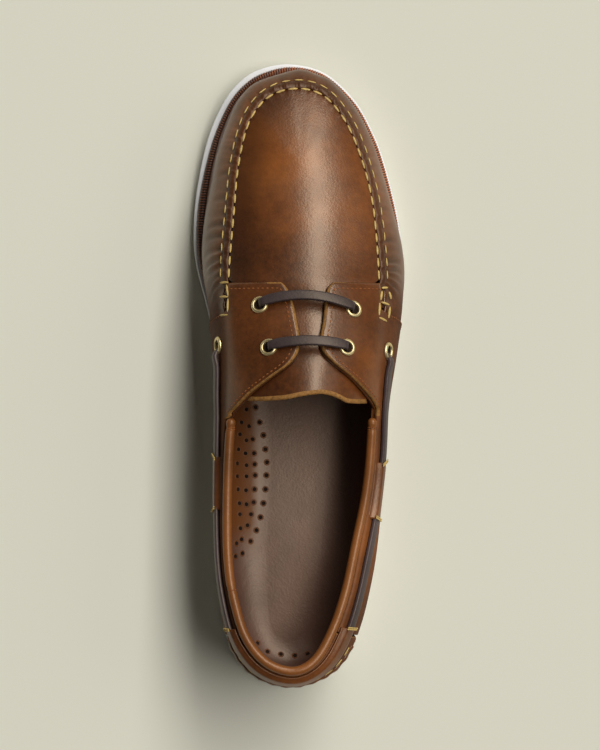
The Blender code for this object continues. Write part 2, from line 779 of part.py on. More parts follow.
def make_lace_heel():
    """Flat lace from the inner side eyelet back round the heel to the outer one."""
    base = OVERLAY_TOP + CLEARANCE
    outline = lace_outline(LACE_WIDTH / 2, base)
    clear = (EYELET_RADIUS + 2 * CLEARANCE) / HALF_LENGTH
    starts = {-1: SIDE_EYELET_MEDIAL - clear, 1: SIDE_EYELET_LATERAL - clear}
    sides = {side: [start] + [place for place in SIDE_PLACES if place < start - LACE_END_STEP]
             for side, start in starts.items()}
    us = ([at(-1, place) for place in sides[-1]] + heel_legs()
          + [at(1, place) for place in reversed(sides[1])])
    rail("lace_heel", [(u, lace_v(u)) for u in us], outline, "lace_leather")


def tunnel_outline():
    """Arch of leather over the lace."""
    base = OVERLAY_TOP + CLEARANCE
    half = LACE_WIDTH / 2 + CLEARANCE
    roof = base + LACE_THICKNESS + CLEARANCE
    foot = half + TUNNEL_WALL + TUNNEL_FLANGE
    return ((-foot, base), (-half, base), (-half, roof), (half, roof), (half, base), (foot, base),
            (foot, base + 0.6 * TUNNEL_WALL), (half + 0.8 * TUNNEL_WALL, roof),
            (half - 0.5 * TUNNEL_WALL, roof + TUNNEL_WALL), (0.5 * TUNNEL_WALL - half, roof + TUNNEL_WALL),
            (-half - 0.8 * TUNNEL_WALL, roof), (-foot, base + 0.6 * TUNNEL_WALL))


def make_tunnels():
    """Strips that the lace passes under, one on each quarter and one round the heel."""
    for side, name, (front, back) in ((-1, "lace_tunnel_medial", TUNNEL_MEDIAL),
                                      (1, "lace_tunnel_lateral", TUNNEL_LATERAL)):
        places = [front] + [place for place in SIDE_PLACES if back < place < front] + [back]
        us = [at(side, place) for place in places]
        rail(name, [(u, lace_v(u)) for u in us], tunnel_outline(), "brown_leather")
    rail("heel_tunnel", [(u, lace_v(u)) for u in heel_legs()[1:-1]], tunnel_outline(), "brown_leather")


def make_tongue():
    """Leather tongue that lies under the quarters and runs on under the plug."""
    low, high = TONGUE_END[0][0], TONGUE_END[-1][0]
    columns = []
    for i in range(TONGUE_COLUMNS + 1):
        across = low + (high - low) * i / TONGUE_COLUMNS
        back = tongue_end(across)
        column = []
        for j in range(TONGUE_ROWS + 1):
            share = j / TONGUE_ROWS
            narrow = 1 - TONGUE_TAPER * (1 - share)
            column.append(over(TONGUE_FRONT + (back - TONGUE_FRONT) * share, across * narrow))
        columns.append(column)
    top = -WALL - TONGUE_CLEARANCE
    layer("tongue", columns, top - TONGUE_THICKNESS, top, "brown_leather")


def make_eyelet(name, u, v):
    """Brass ring that stands on the quarter: a domed flange round its hole."""
    point, normal, upward = frame_at(u, v)
    aside = normal.cross(upward)
    base = OVERLAY_TOP + CLEARANCE
    profile = ((EYELET_RADIUS, base), (EYELET_RADIUS, base + 0.4 * EYELET_HEIGHT),
               (0.85 * EYELET_RADIUS, base + EYELET_HEIGHT), (1.15 * EYELET_HOLE, base + EYELET_HEIGHT),
               (EYELET_HOLE, base + 0.6 * EYELET_HEIGHT), (EYELET_HOLE, base))
    rings = []
    for k in range(EYELET_SIDES):
        turn = math.tau * k / EYELET_SIDES
        out = upward * math.cos(turn) + aside * math.sin(turn)
        rings.append([point + out * radius + normal * height for radius, height in profile])
    tube(name, rings, "brass", closed=True)


def make_eyelets():
    for name, along, across in EYELETS_ON_TOP:
        make_eyelet(name, *over(along, across))
    for name, u in (("eyelet_side_medial", at(-1, SIDE_EYELET_MEDIAL)),
                    ("eyelet_side_lateral", at(1, SIDE_EYELET_LATERAL))):
        make_eyelet(name, u, lace_v(u))


def make_lace_bar(name, start, end, bow):
    """One flat bar of lace from eyelet to eyelet, bowed forward over the throat."""
    outline = lace_outline(LACE_BAR_WIDTH / 2, OVERLAY_TOP + EYELET_HEIGHT + 3 * CLEARANCE)
    spots = []
    for k in range(LACE_BAR_STEPS + 1):
        share = k / LACE_BAR_STEPS
        along = start[0] + (end[0] - start[0]) * share + 4 * share * (1 - share) * bow / HALF_LENGTH
        across = start[1] + (end[1] - start[1]) * share
        spots.append(frame_at(*over(along, across))[:2])
    rings = []
    for k, (point, normal) in enumerate(spots):
        run = spots[min(k + 1, LACE_BAR_STEPS)][0] - spots[max(k - 1, 0)][0]
        wide = normal.cross(run).normalized()
        rings.append([point + wide * aside + normal * off for aside, off in outline])
    tube(name, rings, "lace_leather")


def make_lace_bars():
    places = {name: (along, across) for name, along, across in EYELETS_ON_TOP}
    for row, bow in (("front", FRONT_BAR_BOW), ("rear", REAR_BAR_BOW)):
        make_lace_bar("lace_bar_" + row, places["eyelet_" + row + "_medial"],
                      places["eyelet_" + row + "_lateral"], bow)


def recentre():
    """Moves the whole shoe so that its box stands on the ground around the origin."""
    meshes = [item.data for item in bpy.data.objects]
    corners = [vertex.co for mesh in meshes for vertex in mesh.vertices]
    low = Vector([min(corner[axis] for corner in corners) for axis in range(3)])
    high = Vector([max(corner[axis] for corner in corners) for axis in range(3)])
    shift = Vector((-(low.x + high.x) / 2, -(low.y + high.y) / 2, -low.z))
    for mesh in meshes:
        for vertex in mesh.vertices:
            vertex.co += shift


def main():
    for item in list(bpy.data.objects):
        bpy.data.objects.remove(item)
    make_materials()
    make_outsole()
    make_welt()
    make_insole()
    make_upper()
    make_moc_seam()
    make_quarters()
    make_heel_counter()
    make_tongue()
    make_collar_roll()
    make_lace_heel()
    make_tunnels()
    make_eyelets()
    make_lace_bars()
    recentre()


main()
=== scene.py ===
"""Boat shoe, right foot, seen from straight above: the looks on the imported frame.

Metres, +Z up, +Y to the toe, +X to the outer side. The leather lies on one surface, surface(u, v, h), with
the frame's own sizes: u runs round the shoe (0 to 1 round the toe from the outer to the inner side, 1 to 2
back along the inner side, 2 to 3 round the heel, 3 to 4 forward along the outer side), v is 0 at the welt,
1 at the seam or collar and 2 on the crown line, and h stands off it.
"""
import math
from functools import lru_cache

import bmesh
import bpy
from bpy.props import FloatProperty, FloatVectorProperty, PointerProperty
from mathutils import Matrix, Vector, noise
from mathutils.bvhtree import BVHTree


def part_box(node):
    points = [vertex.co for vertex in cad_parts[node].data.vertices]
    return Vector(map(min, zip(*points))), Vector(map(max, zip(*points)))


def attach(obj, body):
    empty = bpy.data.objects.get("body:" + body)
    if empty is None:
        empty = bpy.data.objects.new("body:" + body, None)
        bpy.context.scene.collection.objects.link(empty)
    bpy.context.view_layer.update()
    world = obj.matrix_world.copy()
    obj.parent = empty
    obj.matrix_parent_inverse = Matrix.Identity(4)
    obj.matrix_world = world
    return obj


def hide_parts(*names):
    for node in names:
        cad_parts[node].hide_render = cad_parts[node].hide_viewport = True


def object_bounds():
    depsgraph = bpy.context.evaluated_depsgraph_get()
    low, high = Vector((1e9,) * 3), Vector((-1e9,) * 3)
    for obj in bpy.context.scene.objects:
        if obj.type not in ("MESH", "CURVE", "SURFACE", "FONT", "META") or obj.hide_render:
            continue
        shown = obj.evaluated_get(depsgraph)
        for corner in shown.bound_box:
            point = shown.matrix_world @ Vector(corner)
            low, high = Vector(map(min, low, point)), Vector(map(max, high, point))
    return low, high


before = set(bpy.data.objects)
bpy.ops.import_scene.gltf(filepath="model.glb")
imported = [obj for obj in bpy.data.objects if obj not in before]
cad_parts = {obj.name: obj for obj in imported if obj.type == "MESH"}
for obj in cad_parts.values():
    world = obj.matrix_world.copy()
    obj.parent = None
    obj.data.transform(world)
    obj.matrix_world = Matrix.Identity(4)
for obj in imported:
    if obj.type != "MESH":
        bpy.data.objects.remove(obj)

bl_info = {
    "name": "Boat shoe",
    "version": (1, 0, 0),
    "blender": (4, 5, 0),
    "location": "3D View > Sidebar > Boat shoe",
    "description": "Hand-sewn leather boat shoe with its sole, laces and stitching",
    "category": "Mesh",
}

MM = 0.001
CAD_BOX = [list(corner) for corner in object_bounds()]

# Driving sizes of the frame
HALF_LENGTH = 149.1 * MM
HALF_WIDTH = 50.3 * MM
FOREFOOT_SOLE = 9 * MM
HEEL_SOLE = 19.5 * MM
TOE_SPRING = 8.5 * MM
ARCH_RISE = 3.4 * MM
COLLAR_HEIGHT = 75.5 * MM
INSTEP_HEIGHT = 90 * MM
SOLE_CHAMFER = 1.2 * MM
SOLE_GROOVE = 0.9 * MM
SOLE_LIP = 0.7 * MM
WELT_HEIGHT = 3 * MM
WELT_STEP_INNER = 1.4 * MM
WELT_STEP_OUTER = 0.6 * MM
WELT_SHOW = 3.4 * MM
WELT_SEAT = 1.6 * MM
INSOLE_THICKNESS = 3 * MM
CLEARANCE = 0.3 * MM
OVERLAY_TOP = 1.9 * MM
WALL = 1.8 * MM
TONGUE_DEPTH = 2.2 * MM
SEAM_HALF = 2.5 * MM
SEAM_HEIGHT = 1.3 * MM
ROLL_RADIUS = 2.2 * MM
LACE_HALF = 2.4 * MM
LACE_THICKNESS = 2 * MM
EYELET_RADIUS = 4.1 * MM
EYELET_HEIGHT = 1.1 * MM

# Places along the shoe, as shares of HALF_LENGTH from the middle
TOE_CENTRE = 0.663
HEEL_CENTRE = -0.759
SADDLE_FRONT = 0.287
SEAM_BACK = 0.205
COLLAR_FRONT = -0.135
TUNNEL_MEDIAL = (-0.256, -0.421)
TUNNEL_LATERAL = (-0.272, -0.447)
QUARTER_THREAD_BACK = -0.10
COLLAR_SEAM = -0.663

# Places up the surface
GIRTH_V = 0.35
SEAM_V = 0.955
FEATHER_FULLNESS = 0.6
SHOULDER_FULLNESS = 0.55
CROWN_FULLNESS = 0.45
SLOPE_STEP = 0.002
SPAN_STEPS = 8
# Metres along the side of the shoe for one unit of u
SIDE_LENGTH = 212 * MM

# Sizes of the looks alone. Sole, welt, insole and lining.
SOLE_STEPS = 420
WELT_DRAWN_IN = 1.3 * MM
WELT_SHEET = 0.8 * MM
STEPS_PER_BEAD = 6
BEAD_GROOVE = 0.45 * MM
INSOLE_STEPS = 260
INSOLE_SHEET = 1.2 * MM
CUP_WIDTH = 15 * MM
CUP_V = 0.22
CUP_DIP = 0.8 * MM
LINING_SHEET = 0.4 * MM
LINING_STEP = 2.2 * MM
HOLE_LIFT = 0.08 * MM
HOLE_SIDES = 12
# The lining's tan inlay on the insole: where it starts and is full, across in metres, then along in shares.
INLAY_ACROSS = (20.5 * MM, 23.5 * MM)
INLAY_BACK = (-0.58, -0.46)
INLAY_FRONT = (-0.07, 0.0)

# Vamp and plug: steps of their grids, gathers, waves, and the swell before the quarters.
VAMP_STEP = 0.95 * MM
SHELL_STEP = 2.5 * MM
VAMP_GIRTH_SIDE = 45 * MM
VAMP_GIRTH_TOE = 40 * MM
VAMP_RIPPLE = 0.12 * MM
VAMP_WAVE = 0.25 * MM
PLEAT_REACH = 7 * MM
FEATHER_ROUND = 0.5 * MM
MEETING_RISE = 1.2 * MM
MEETING_RUN = 0.13
MEETING_FRONT = 0.4
PLUG_STEP = 1.0 * MM
PLUG_SHEET = 1.7 * MM
PLUG_WAVE = 0.10 * MM
PLUG_RIPPLE = 0.05 * MM
GATHER_DEPTH = 0.20 * MM
GATHER_REACH = 3.5 * MM
RIM_TUCK = 0.3 * MM
RIM_TUCK_REACH = 1.0 * MM
TOE_FAIRING = 40

# Hand-sewn seam: its grid, how it crumples, and how high its rows of stitches lie.
SEAM_STEP = 0.42 * MM
SEAM_TRIM = 0.004
SEAM_SWAY = 0.35 * MM
OUTER_STITCH_LIFT = 0.95 * MM
OUTER_STITCH_SWAY = 0.45 * MM
INNER_STITCH_OUT = 0.45 * MM
INNER_STITCH_LIFT = 0.15 * MM
INNER_STITCH_SWAY = 0.12 * MM
STITCH_FLATNESS = 0.8

# Overlays, and the rows of fine stitches on them: how far from an edge, and half their thread.
OVERLAY_STEP = 1.3 * MM
SHEET = 0.6 * MM
RAW_LOW_BACK = 0.15
FINE_SHARE = 0.62
EYESTAY_INSET = 3.4 * MM
EYESTAY_THREAD = 0.33 * MM
QUARTER_ROWS = (2.6 * MM, 4.4 * MM)
QUARTER_THREAD = 0.22 * MM
COUNTER_ROWS = (2.4 * MM, 4.2 * MM)
COUNTER_THREAD = 0.24 * MM
COUNTER_TRIM = 0.01

# Heel band, kicker, collar, laces and tunnels.
BAND_STEP = 1.4 * MM
STRIP_SHEET = 0.8 * MM
KICKER_V = 0.56
KICKER_SPAN = (2.12, 2.86)
KICKER_STEP = 0.9 * MM
KICKER_ROW = 4.4 * MM
COLLAR_STEP = 1.1 * MM
COLLAR_SIDES = 18
WRAP_PLACE = 4.5 * MM
WRAP_RADIUS = 2.0 * MM
WRAP_THREAD = 0.3 * MM
COVER_THREAD = 0.28 * MM
LACE_ROUNDING = 0.75 * MM
LACE_STEP = 1.6 * MM
LACE_DIVE = 2.6 * MM
LACE_BEND = 4.5 * MM
LACE_HUMP = 0.8 * MM
BAR_STEPS = 40
BAR_OVERRUN = 0.032
BAR_DIVE = 1.2 * MM
TUNNEL_STEP = 0.8 * MM
TUNNEL_REACH = 0.13
TACK_THREAD = 0.42 * MM
TACK_SWAY = 0.4 * MM
# The counter's ends and the bar tacks beside the heel in u, and half the length of a tack in v
COUNTER_INSET = 1 / 12
HEEL_TACK = 0.045
TACK_REACH = 0.085
# Rows beside an overlay's edge: how far in they lie, and how high they stand
RIMS = (0.0, 0.3 * MM, 0.7 * MM, 1.2 * MM, 1.8 * MM)
RIM_HEIGHTS = (0.35 * MM, 1.05 * MM, 1.55 * MM, 1.82 * MM, OVERLAY_TOP)

# Sections of the sole. Underneath: shares of its half width.
SOLE_UNDER = (0.0, 0.4, 0.8)
# Foot of its side: inset as a share of SOLE_CHAMFER, height as a share of the sole's.
SOLE_FOOT = ((0.35, 0.03), (0.0, 0.09), (0.0, 0.30), (0.0, 0.51))
# Groove in its side: inset as a share of SOLE_GROOVE, height as a share of the sole's.
SOLE_SIDE = ((0.25, 0.53), (1.0, 0.56), (1.0, 0.64), (0.25, 0.67), (0.0, 0.69), (0.0, 0.84))
# Section of the welt: inset as a share of WELT_SHOW, rise as a share of WELT_HEIGHT.
WELT_SECTION = ((0.0, 0.1), (0.0, 0.45), (0.12, 0.78), (0.32, 0.97), (0.6, 1.0), (1.0, 0.92), (1.9, 0.9))
# Section of an eyelet: shares of EYELET_RADIUS and EYELET_HEIGHT.
EYELET_SECTION = ((1.0, 0.0), (1.0, 0.25), (0.96, 0.6), (0.88, 0.88), (0.78, 1.0), (0.70, 0.95),
                  (0.64, 0.75), (0.61, 0.4), (0.60, 0.0))

# Light and stage: name, place, width, length and power of each lamp, which faces the shoe.
LAMPS = (
    ("key softbox", (3.5, 4.6, 10.0), 3.7, 17.0, 1930.0),
    ("side fill", (9.0, 1.5, 7.5), 4.5, 7.0, 130.0),
)
SKY_COLOUR = (1.0, 0.98, 0.94, 1)
SKY_STRENGTH = 0.07
FLOOR_HALF = 3
LOOKED_AT_HEIGHT = 0.03

# Finishes
WARM_SHINE = (1.0, 0.80, 0.60, 1.0)
CLOUD_SCALE = 16
GRAIN_SCALE = 420
GLOSS_SCALE = 38
PORE_SCALE = 950.0
WRINKLE_SCALE = 300
# Leathers of one colour: name, setting of the colour, its dark and light shares, roughness, shine and
# the setting of a second colour.
LEATHERS = (
    ("collar leather", "roll_colour", 0.55, 1.3, 0.34, 0.5, None),
    ("lining leather", "lining_colour", 0.55, 1.3, 0.52, 0.25, None),
    ("insole leather", "insole_colour", 0.6, 1.3, 0.42, 0.62, "lining_colour"),
    ("lace leather", "lace_colour", 0.5, 1.8, 0.42, 0.5, None),
)

# Heights along the shoe. along: share of HALF_LENGTH. spring: of TOE_SPRING. arch: of ARCH_RISE.
# lift: from FOREFOOT_SOLE to HEEL_SOLE. girth: height of the widest line, of the wall. edge: height of
# the seam or collar, of COLLAR_HEIGHT. crown: of INSTEP_HEIGHT. round: fullness beside the edge.
LAST = (
    # along, spring, arch, lift, girth, edge, crown, round
    (1.000, 1.00, 0.00, 0.00, 0.34, 0.500, 0.430, 0.12),
    (0.905, 0.62, 0.00, 0.00, 0.34, 0.530, 0.450, 0.12),
    (0.824, 0.38, 0.00, 0.00, 0.34, 0.576, 0.533, 0.12),
    (0.710, 0.15, 0.00, 0.00, 0.34, 0.616, 0.606, 0.13),
    (0.583, 0.03, 0.00, 0.00, 0.35, 0.662, 0.664, 0.14),
    (0.495, 0.00, 0.00, 0.00, 0.36, 0.700, 0.705, 0.15),
    (0.328, 0.00, 0.00, 0.02, 0.38, 0.768, 0.789, 0.18),
    (0.214, 0.00, 0.00, 0.05, 0.42, 0.834, 0.856, 0.20),
    (0.107, 0.00, 0.00, 0.08, 0.45, 0.874, 0.917, 0.22),
    (0.026, 0.00, 0.00, 0.14, 0.48, 0.881, 0.961, 0.24),
    (-0.074, 0.00, 0.00, 0.20, 0.50, 0.874, 1.000, 0.26),
    (-0.135, 0.00, 0.14, 0.27, 0.50, 0.861, 1.010, 0.26),
    (-0.235, 0.00, 0.60, 0.42, 0.50, 0.840, 1.010, 0.26),
    (-0.356, 0.00, 1.00, 0.62, 0.50, 0.826, 1.010, 0.26),
    (-0.410, 0.00, 1.00, 0.70, 0.50, 0.828, 1.010, 0.26),
    (-0.443, 0.00, 0.00, 0.75, 0.50, 0.833, 1.010, 0.26),
    (-0.604, 0.00, 0.00, 0.91, 0.50, 0.879, 1.010, 0.26),
    (-0.725, 0.00, 0.00, 0.97, 0.50, 0.932, 1.010, 0.26),
    (-0.826, 0.00, 0.00, 1.00, 0.50, 0.967, 1.010, 0.26),
    (-0.946, 0.00, 0.00, 1.00, 0.50, 1.000, 1.010, 0.26),
    (-1.000, 0.00, 0.45, 1.00, 0.50, 1.000, 1.010, 0.26),
)

# Crown line seen from above. across: share of HALF_WIDTH.
CROWN_LINE = (
    # along, across
    (0.663, -0.016),
    (0.328, 0.024),
    (0.093, 0.048),
    (-0.209, 0.014),
    (-0.759, -0.105),
)

# Throat edges seen from above, as shares of HALF_WIDTH.
THROAT = (
    # along, inner, outer
    (0.292, -0.264, 0.292),
    (0.284, -0.199, 0.254),
    (0.262, -0.145, 0.203),
    (0.221, -0.101, 0.183),
    (0.160, -0.066, 0.160),
    (0.107, -0.044, 0.131),
    (0.076, -0.054, 0.147),
    (0.040, -0.117, 0.239),
    (-0.007, -0.298, 0.412),
    (-0.054, -0.477, 0.553),
    (-0.085, -0.567, 0.630),
    (-0.118, -0.657, 0.684),
)

# Lower edge of the quarter overlays up the wall.
QUARTER_EDGE = (
    # along, v
    (0.287, 1.020),
    (0.205, 1.020),
    (0.190, 0.900),
    (0.175, 0.640),
    (0.160, 0.370),
    (0.107, 0.120),
    (-1.000, 0.060),
)

# Middle of the lace that runs along the quarters.
LACE_LINE = (
    # along, inner v, outer v
    (0.093, 0.785, 0.900),
    (0.046, 0.765, 0.898),
    (-0.048, 0.745, 0.892),
    (-0.142, 0.770, 0.878),
    (-0.251, 0.800, 0.850),
    (-0.427, 0.815, 0.845),
    (-0.516, 0.835, 0.860),
    (-0.604, 0.850, 0.876),
    (-0.700, 0.865, 0.882),
    (-0.780, 0.870, 0.878),
    (-0.850, 0.862, 0.862),
    (-1.000, 0.850, 0.850),
)

# Rear edge of the tongue seen from above. across: of HALF_WIDTH. along: of HALF_LENGTH.
TONGUE_END = (
    # across, along
    (-0.430, -0.080),
    (-0.210, -0.073),
    (-0.030, -0.061),
    (0.150, -0.055),
    (0.245, -0.060),
    (0.340, -0.072),
    (0.433, -0.087),
    (0.520, -0.090),
)

# Lower edge of the band that hides the lace round the heel.
BAND_LINE = (
    # along, v
    (-0.750, 0.785),
    (-0.870, 0.790),
    (-1.000, 0.770),
)

# How far out the plug and tongue reach under the saddles, and how deep they lie there.
TONGUE_SIDE = (
    # along, v, depth
    (0.300, 0.955, 0.0),
    (0.285, 1.150, 0.1),
    (0.255, 1.380, 0.7),
    (0.200, 1.420, 1.0),
    (0.020, 1.280, 1.0),
    (-0.100, 1.120, 1.0),
)

# Outlines seen from above, anticlockwise from the toe: (across, along) as shares.
SOLE_OUTLINE = (
    (-0.076, 1.000), (-0.362, 0.985), (-0.553, 0.947), (-0.718, 0.878), (-0.869, 0.759), (-0.970, 0.597),
    (-1.000, 0.467), (-0.978, 0.362), (-0.889, 0.241), (-0.803, 0.113), (-0.744, -0.041), (-0.716, -0.209),
    (-0.724, -0.410), (-0.748, -0.611), (-0.736, -0.759), (-0.652, -0.873), (-0.463, -0.956),
    (-0.105, -1.000), (0.252, -0.956), (0.445, -0.873), (0.541, -0.759), (0.616, -0.611), (0.680, -0.410),
    (0.736, -0.209), (0.811, -0.041), (0.899, 0.113), (0.970, 0.261), (1.000, 0.395), (0.950, 0.529),
    (0.823, 0.693), (0.708, 0.791), (0.537, 0.887), (0.252, 0.972),
)
GIRTH_OUTLINE = (
    (-0.070, 0.972), (-0.382, 0.940), (-0.533, 0.900), (-0.640, 0.841), (-0.776, 0.717), (-0.853, 0.590),
    (-0.921, 0.449), (-0.914, 0.315), (-0.845, 0.207), (-0.799, 0.087), (-0.775, -0.048), (-0.771, -0.242),
    (-0.771, -0.443), (-0.757, -0.611), (-0.712, -0.759), (-0.606, -0.867), (-0.421, -0.935),
    (-0.105, -0.965), (0.213, -0.935), (0.404, -0.872), (0.534, -0.768), (0.640, -0.618), (0.694, -0.490),
    (0.732, -0.343), (0.768, -0.209), (0.792, -0.088), (0.846, 0.026), (0.903, 0.140), (0.984, 0.294),
    (0.968, 0.408), (0.884, 0.526), (0.724, 0.717), (0.549, 0.845), (0.314, 0.937), (0.170, 0.961),
    (0.040, 0.975),
)
EDGE_OUTLINE = (
    (-0.036, 0.912), (-0.268, 0.893), (-0.419, 0.845), (-0.525, 0.773), (-0.602, 0.645), (-0.636, 0.517),
    (-0.672, 0.390), (-0.692, 0.286), (-0.688, 0.190), (-0.676, 0.107), (-0.672, 0.010), (-0.682, -0.074),
    (-0.686, -0.135), (-0.705, -0.242), (-0.717, -0.410), (-0.710, -0.571), (-0.664, -0.691),
    (-0.557, -0.814), (-0.368, -0.894), (-0.109, -0.923), (0.105, -0.892), (0.269, -0.811),
    (0.416, -0.675), (0.522, -0.517), (0.594, -0.396), (0.638, -0.276), (0.662, -0.135), (0.682, -0.034),
    (0.704, 0.073), (0.714, 0.194), (0.709, 0.296), (0.692, 0.422), (0.657, 0.549), (0.569, 0.676),
    (0.425, 0.799), (0.216, 0.888),
)

# Eyelets: places seen from above, except the side ones, which sit on the lace line.
EYELETS_ON_TOP = (
    # name, along, across
    ("eyelet_front_medial", 0.213, -0.396),
    ("eyelet_rear_medial", 0.082, -0.318),
    ("eyelet_front_lateral", 0.200, 0.435),
    ("eyelet_rear_lateral", 0.082, 0.366),
)
SIDE_EYELET_MEDIAL = 0.093
SIDE_EYELET_LATERAL = 0.075
FRONT_BAR_BOW = 4.3 * MM
REAR_BAR_BOW = 2.0 * MM

# The photograph's camera: straight above, its nadir and scale in the photograph's pixels.
CAMERA_PLACE = Vector((-65.4, -1.1, 1500)) * MM
NADIR_X, NADIR_Y = 310, 387
PIXELS_PER_SLOPE = 3093
FRAME_HEIGHT = 750
SENSOR = 36

# Punched holes in the lining and the insole, in pixels of the photograph.
PUNCHED_HOLES = (
    (403, 417), (407, 432), (411, 445), (413, 459), (414.5, 472), (414, 485), (413, 499), (411, 513),
    (408, 527), (404, 540), (398, 551), (390, 563), (394, 419), (396.5, 436), (400, 449), (401.5, 463),
    (402, 474), (402.5, 485), (402, 499), (401, 512), (398.5, 524), (395, 535), (389, 549), (383, 566),
    (389, 432), (394, 450), (393, 463), (394, 475), (394, 486), (393.5, 500), (394, 514), (387.5, 524),
    (388, 538), (384, 553), (387.5, 444), (386, 459), (385, 473), (385, 486), (385.5, 499), (387, 513),
    (405, 653), (415, 661.5), (428.5, 664), (442.5, 665.5), (455.5, 664),
)

# Box stitches that close the ends of the hand-sewn seam, in pixels of the photograph: start and end.
BOX_STITCHES = (
    (374, 294, 375.5, 306), (375.5, 308, 375, 322),
    (367, 292.5, 376, 292), (367, 306.5, 375.5, 306.5), (367, 325, 375, 324.5),
    (530, 300, 528.5, 310), (527.5, 312, 527, 325), (537, 301, 539, 309), (538, 316, 536.5, 328),
    (529.5, 297.5, 536, 297), (529, 311.5, 537.5, 314.5), (527, 327, 535, 331),
)

# Creases worn or lasted into the vamp: side, then along and v of both ends, then width and depth in mm.
CREASES = (
    (-1, 0.478, 0.93, 0.468, 0.62, 1.2, 0.68),
    (-1, 0.440, 0.95, 0.428, 0.60, 1.1, 0.75),
    (-1, 0.400, 0.94, 0.372, 0.52, 1.3, 0.90),
    (-1, 0.372, 0.95, 0.335, 0.58, 1.2, 0.98),
    (-1, 0.345, 0.93, 0.300, 0.50, 1.2, 0.90),
    (-1, 0.322, 0.95, 0.268, 0.62, 1.0, 0.83),
    (-1, 0.300, 0.93, 0.235, 0.56, 1.2, 0.90),
    (-1, 0.560, 0.94, 0.556, 0.66, 1.3, 0.52),
    (-1, 0.640, 0.94, 0.636, 0.70, 1.4, 0.45),
    (1, 0.300, 0.95, 0.262, 0.66, 1.0, 0.90),
    (1, 0.312, 0.94, 0.292, 0.60, 1.0, 0.90),
    (1, 0.330, 0.95, 0.326, 0.62, 1.1, 0.83),
    (1, 0.352, 0.94, 0.360, 0.66, 1.2, 0.68),
    (1, 0.288, 0.95, 0.232, 0.74, 0.9, 0.83),
    (1, 0.420, 0.94, 0.428, 0.70, 1.4, 0.45),
    (1, 0.520, 0.94, 0.527, 0.72, 1.5, 0.42),
)


class BoatShoeSettings(bpy.types.PropertyGroup):
    """Sizes and colours of the looks"""

    stitch_pitch: FloatProperty(name="Stitch pitch", description="From one hand stitch to the next",
                                default=6.0 * MM, unit="LENGTH")
    stitch_length: FloatProperty(name="Stitch length", description="Length of one hand stitch",
                                 default=4.7 * MM, unit="LENGTH")
    thread: FloatProperty(name="Thread", description="Half the thickness of the hand-sewing thread",
                          default=0.62 * MM, unit="LENGTH")
    fine_pitch: FloatProperty(name="Fine stitch pitch", description="From one machine stitch to the next",
                              default=2.3 * MM, unit="LENGTH")
    bead_pitch: FloatProperty(name="Bead pitch", description="From one bead of the welt to the next",
                              default=1.27 * MM, unit="LENGTH")
    hole_radius: FloatProperty(name="Hole", description="Radius of a punched hole", default=0.95 * MM,
                               unit="LENGTH")
    pleat_depth: FloatProperty(name="Pleat depth", default=0.32 * MM, unit="LENGTH",
                               description="Depth of the gathers beside the hand-sewn seam")
    # The dark leather is the dark end of the cloudy tone, and a darker share of it is the painted shade in
    # folds and low places.
    leather_dark: FloatVectorProperty(name="Leather, dark", description="Leather in its folds and low places",
                                      default=(0.034, 0.0090, 0.0026), subtype="COLOR")
    leather_mid: FloatVectorProperty(name="Leather", description="Oiled brown leather",
                                     default=(0.100, 0.0285, 0.0064), subtype="COLOR")
    leather_light: FloatVectorProperty(name="Leather, light", description="Leather where it pulls up",
                                       default=(0.235, 0.0700, 0.0125), subtype="COLOR")
    raw_edge: FloatVectorProperty(name="Raw edge", description="Cut edge of the leather",
                                  default=(0.27, 0.125, 0.030), subtype="COLOR")
    thread_colour: FloatVectorProperty(name="Thread", description="Waxed hand-sewing thread",
                                       default=(0.62, 0.42, 0.13), subtype="COLOR")
    roll_colour: FloatVectorProperty(name="Collar", description="Leather of the padded collar",
                                     default=(0.19, 0.063, 0.014), subtype="COLOR")
    lining_colour: FloatVectorProperty(name="Lining", description="Leather of the lining",
                                       default=(0.105, 0.033, 0.008), subtype="COLOR")
    insole_colour: FloatVectorProperty(name="Insole", description="Leather of the insole",
                                       default=(0.088, 0.040, 0.026), subtype="COLOR")
    lace_colour: FloatVectorProperty(name="Lace", description="Leather of the laces",
                                     default=(0.040, 0.027, 0.028), subtype="COLOR")
    brass_colour: FloatVectorProperty(name="Brass", description="Metal of the eyelets",
                                      default=(0.72, 0.48, 0.10), subtype="COLOR")
    rubber_colour: FloatVectorProperty(name="Rubber", description="White rubber of the sole",
                                       default=(0.80, 0.79, 0.76), subtype="COLOR")
    bead_colour: FloatVectorProperty(name="Welt bead", description="Beads of the welt",
                                     default=(0.42, 0.135, 0.050), subtype="COLOR")
    floor_colour: FloatVectorProperty(name="Floor", description="Plain paper under the shoe",
                                      default=(0.62, 0.60, 0.495), subtype="COLOR")


def settings():
    """The sizes and colours that the panel shows."""
    return bpy.context.scene.boat_shoe


# The surface of the shoe


def smooth(rows, column):
    """A curve through one column of a table whose first column falls or rises, without overshoot."""
    pairs = sorted((row[0], row[column]) for row in rows)
    xs = [pair[0] for pair in pairs]
    ys = [pair[1] for pair in pairs]
    last = len(xs) - 1
    steps = [(ys[i + 1] - ys[i]) / (xs[i + 1] - xs[i]) for i in range(last)]
    slopes = [steps[0]] + [0.0] * (last - 1) + [steps[-1]]
    for i in range(1, last):
        if steps[i - 1] * steps[i] > 0:
            slopes[i] = 2 * steps[i - 1] * steps[i] / (steps[i - 1] + steps[i])

    def value(x):
        if x <= xs[0]:
            return ys[0]
        if x >= xs[-1]:
            return ys[-1]
        i = next(k for k in range(last) if x <= xs[k + 1])
        span = xs[i + 1] - xs[i]
        t = (x - xs[i]) / span
        return (ys[i] * (1 + 2 * t) * (1 - t) ** 2 + slopes[i] * span * t * (1 - t) ** 2
                + ys[i + 1] * t * t * (3 - 2 * t) + slopes[i + 1] * span * t * t * (t - 1))

    return value


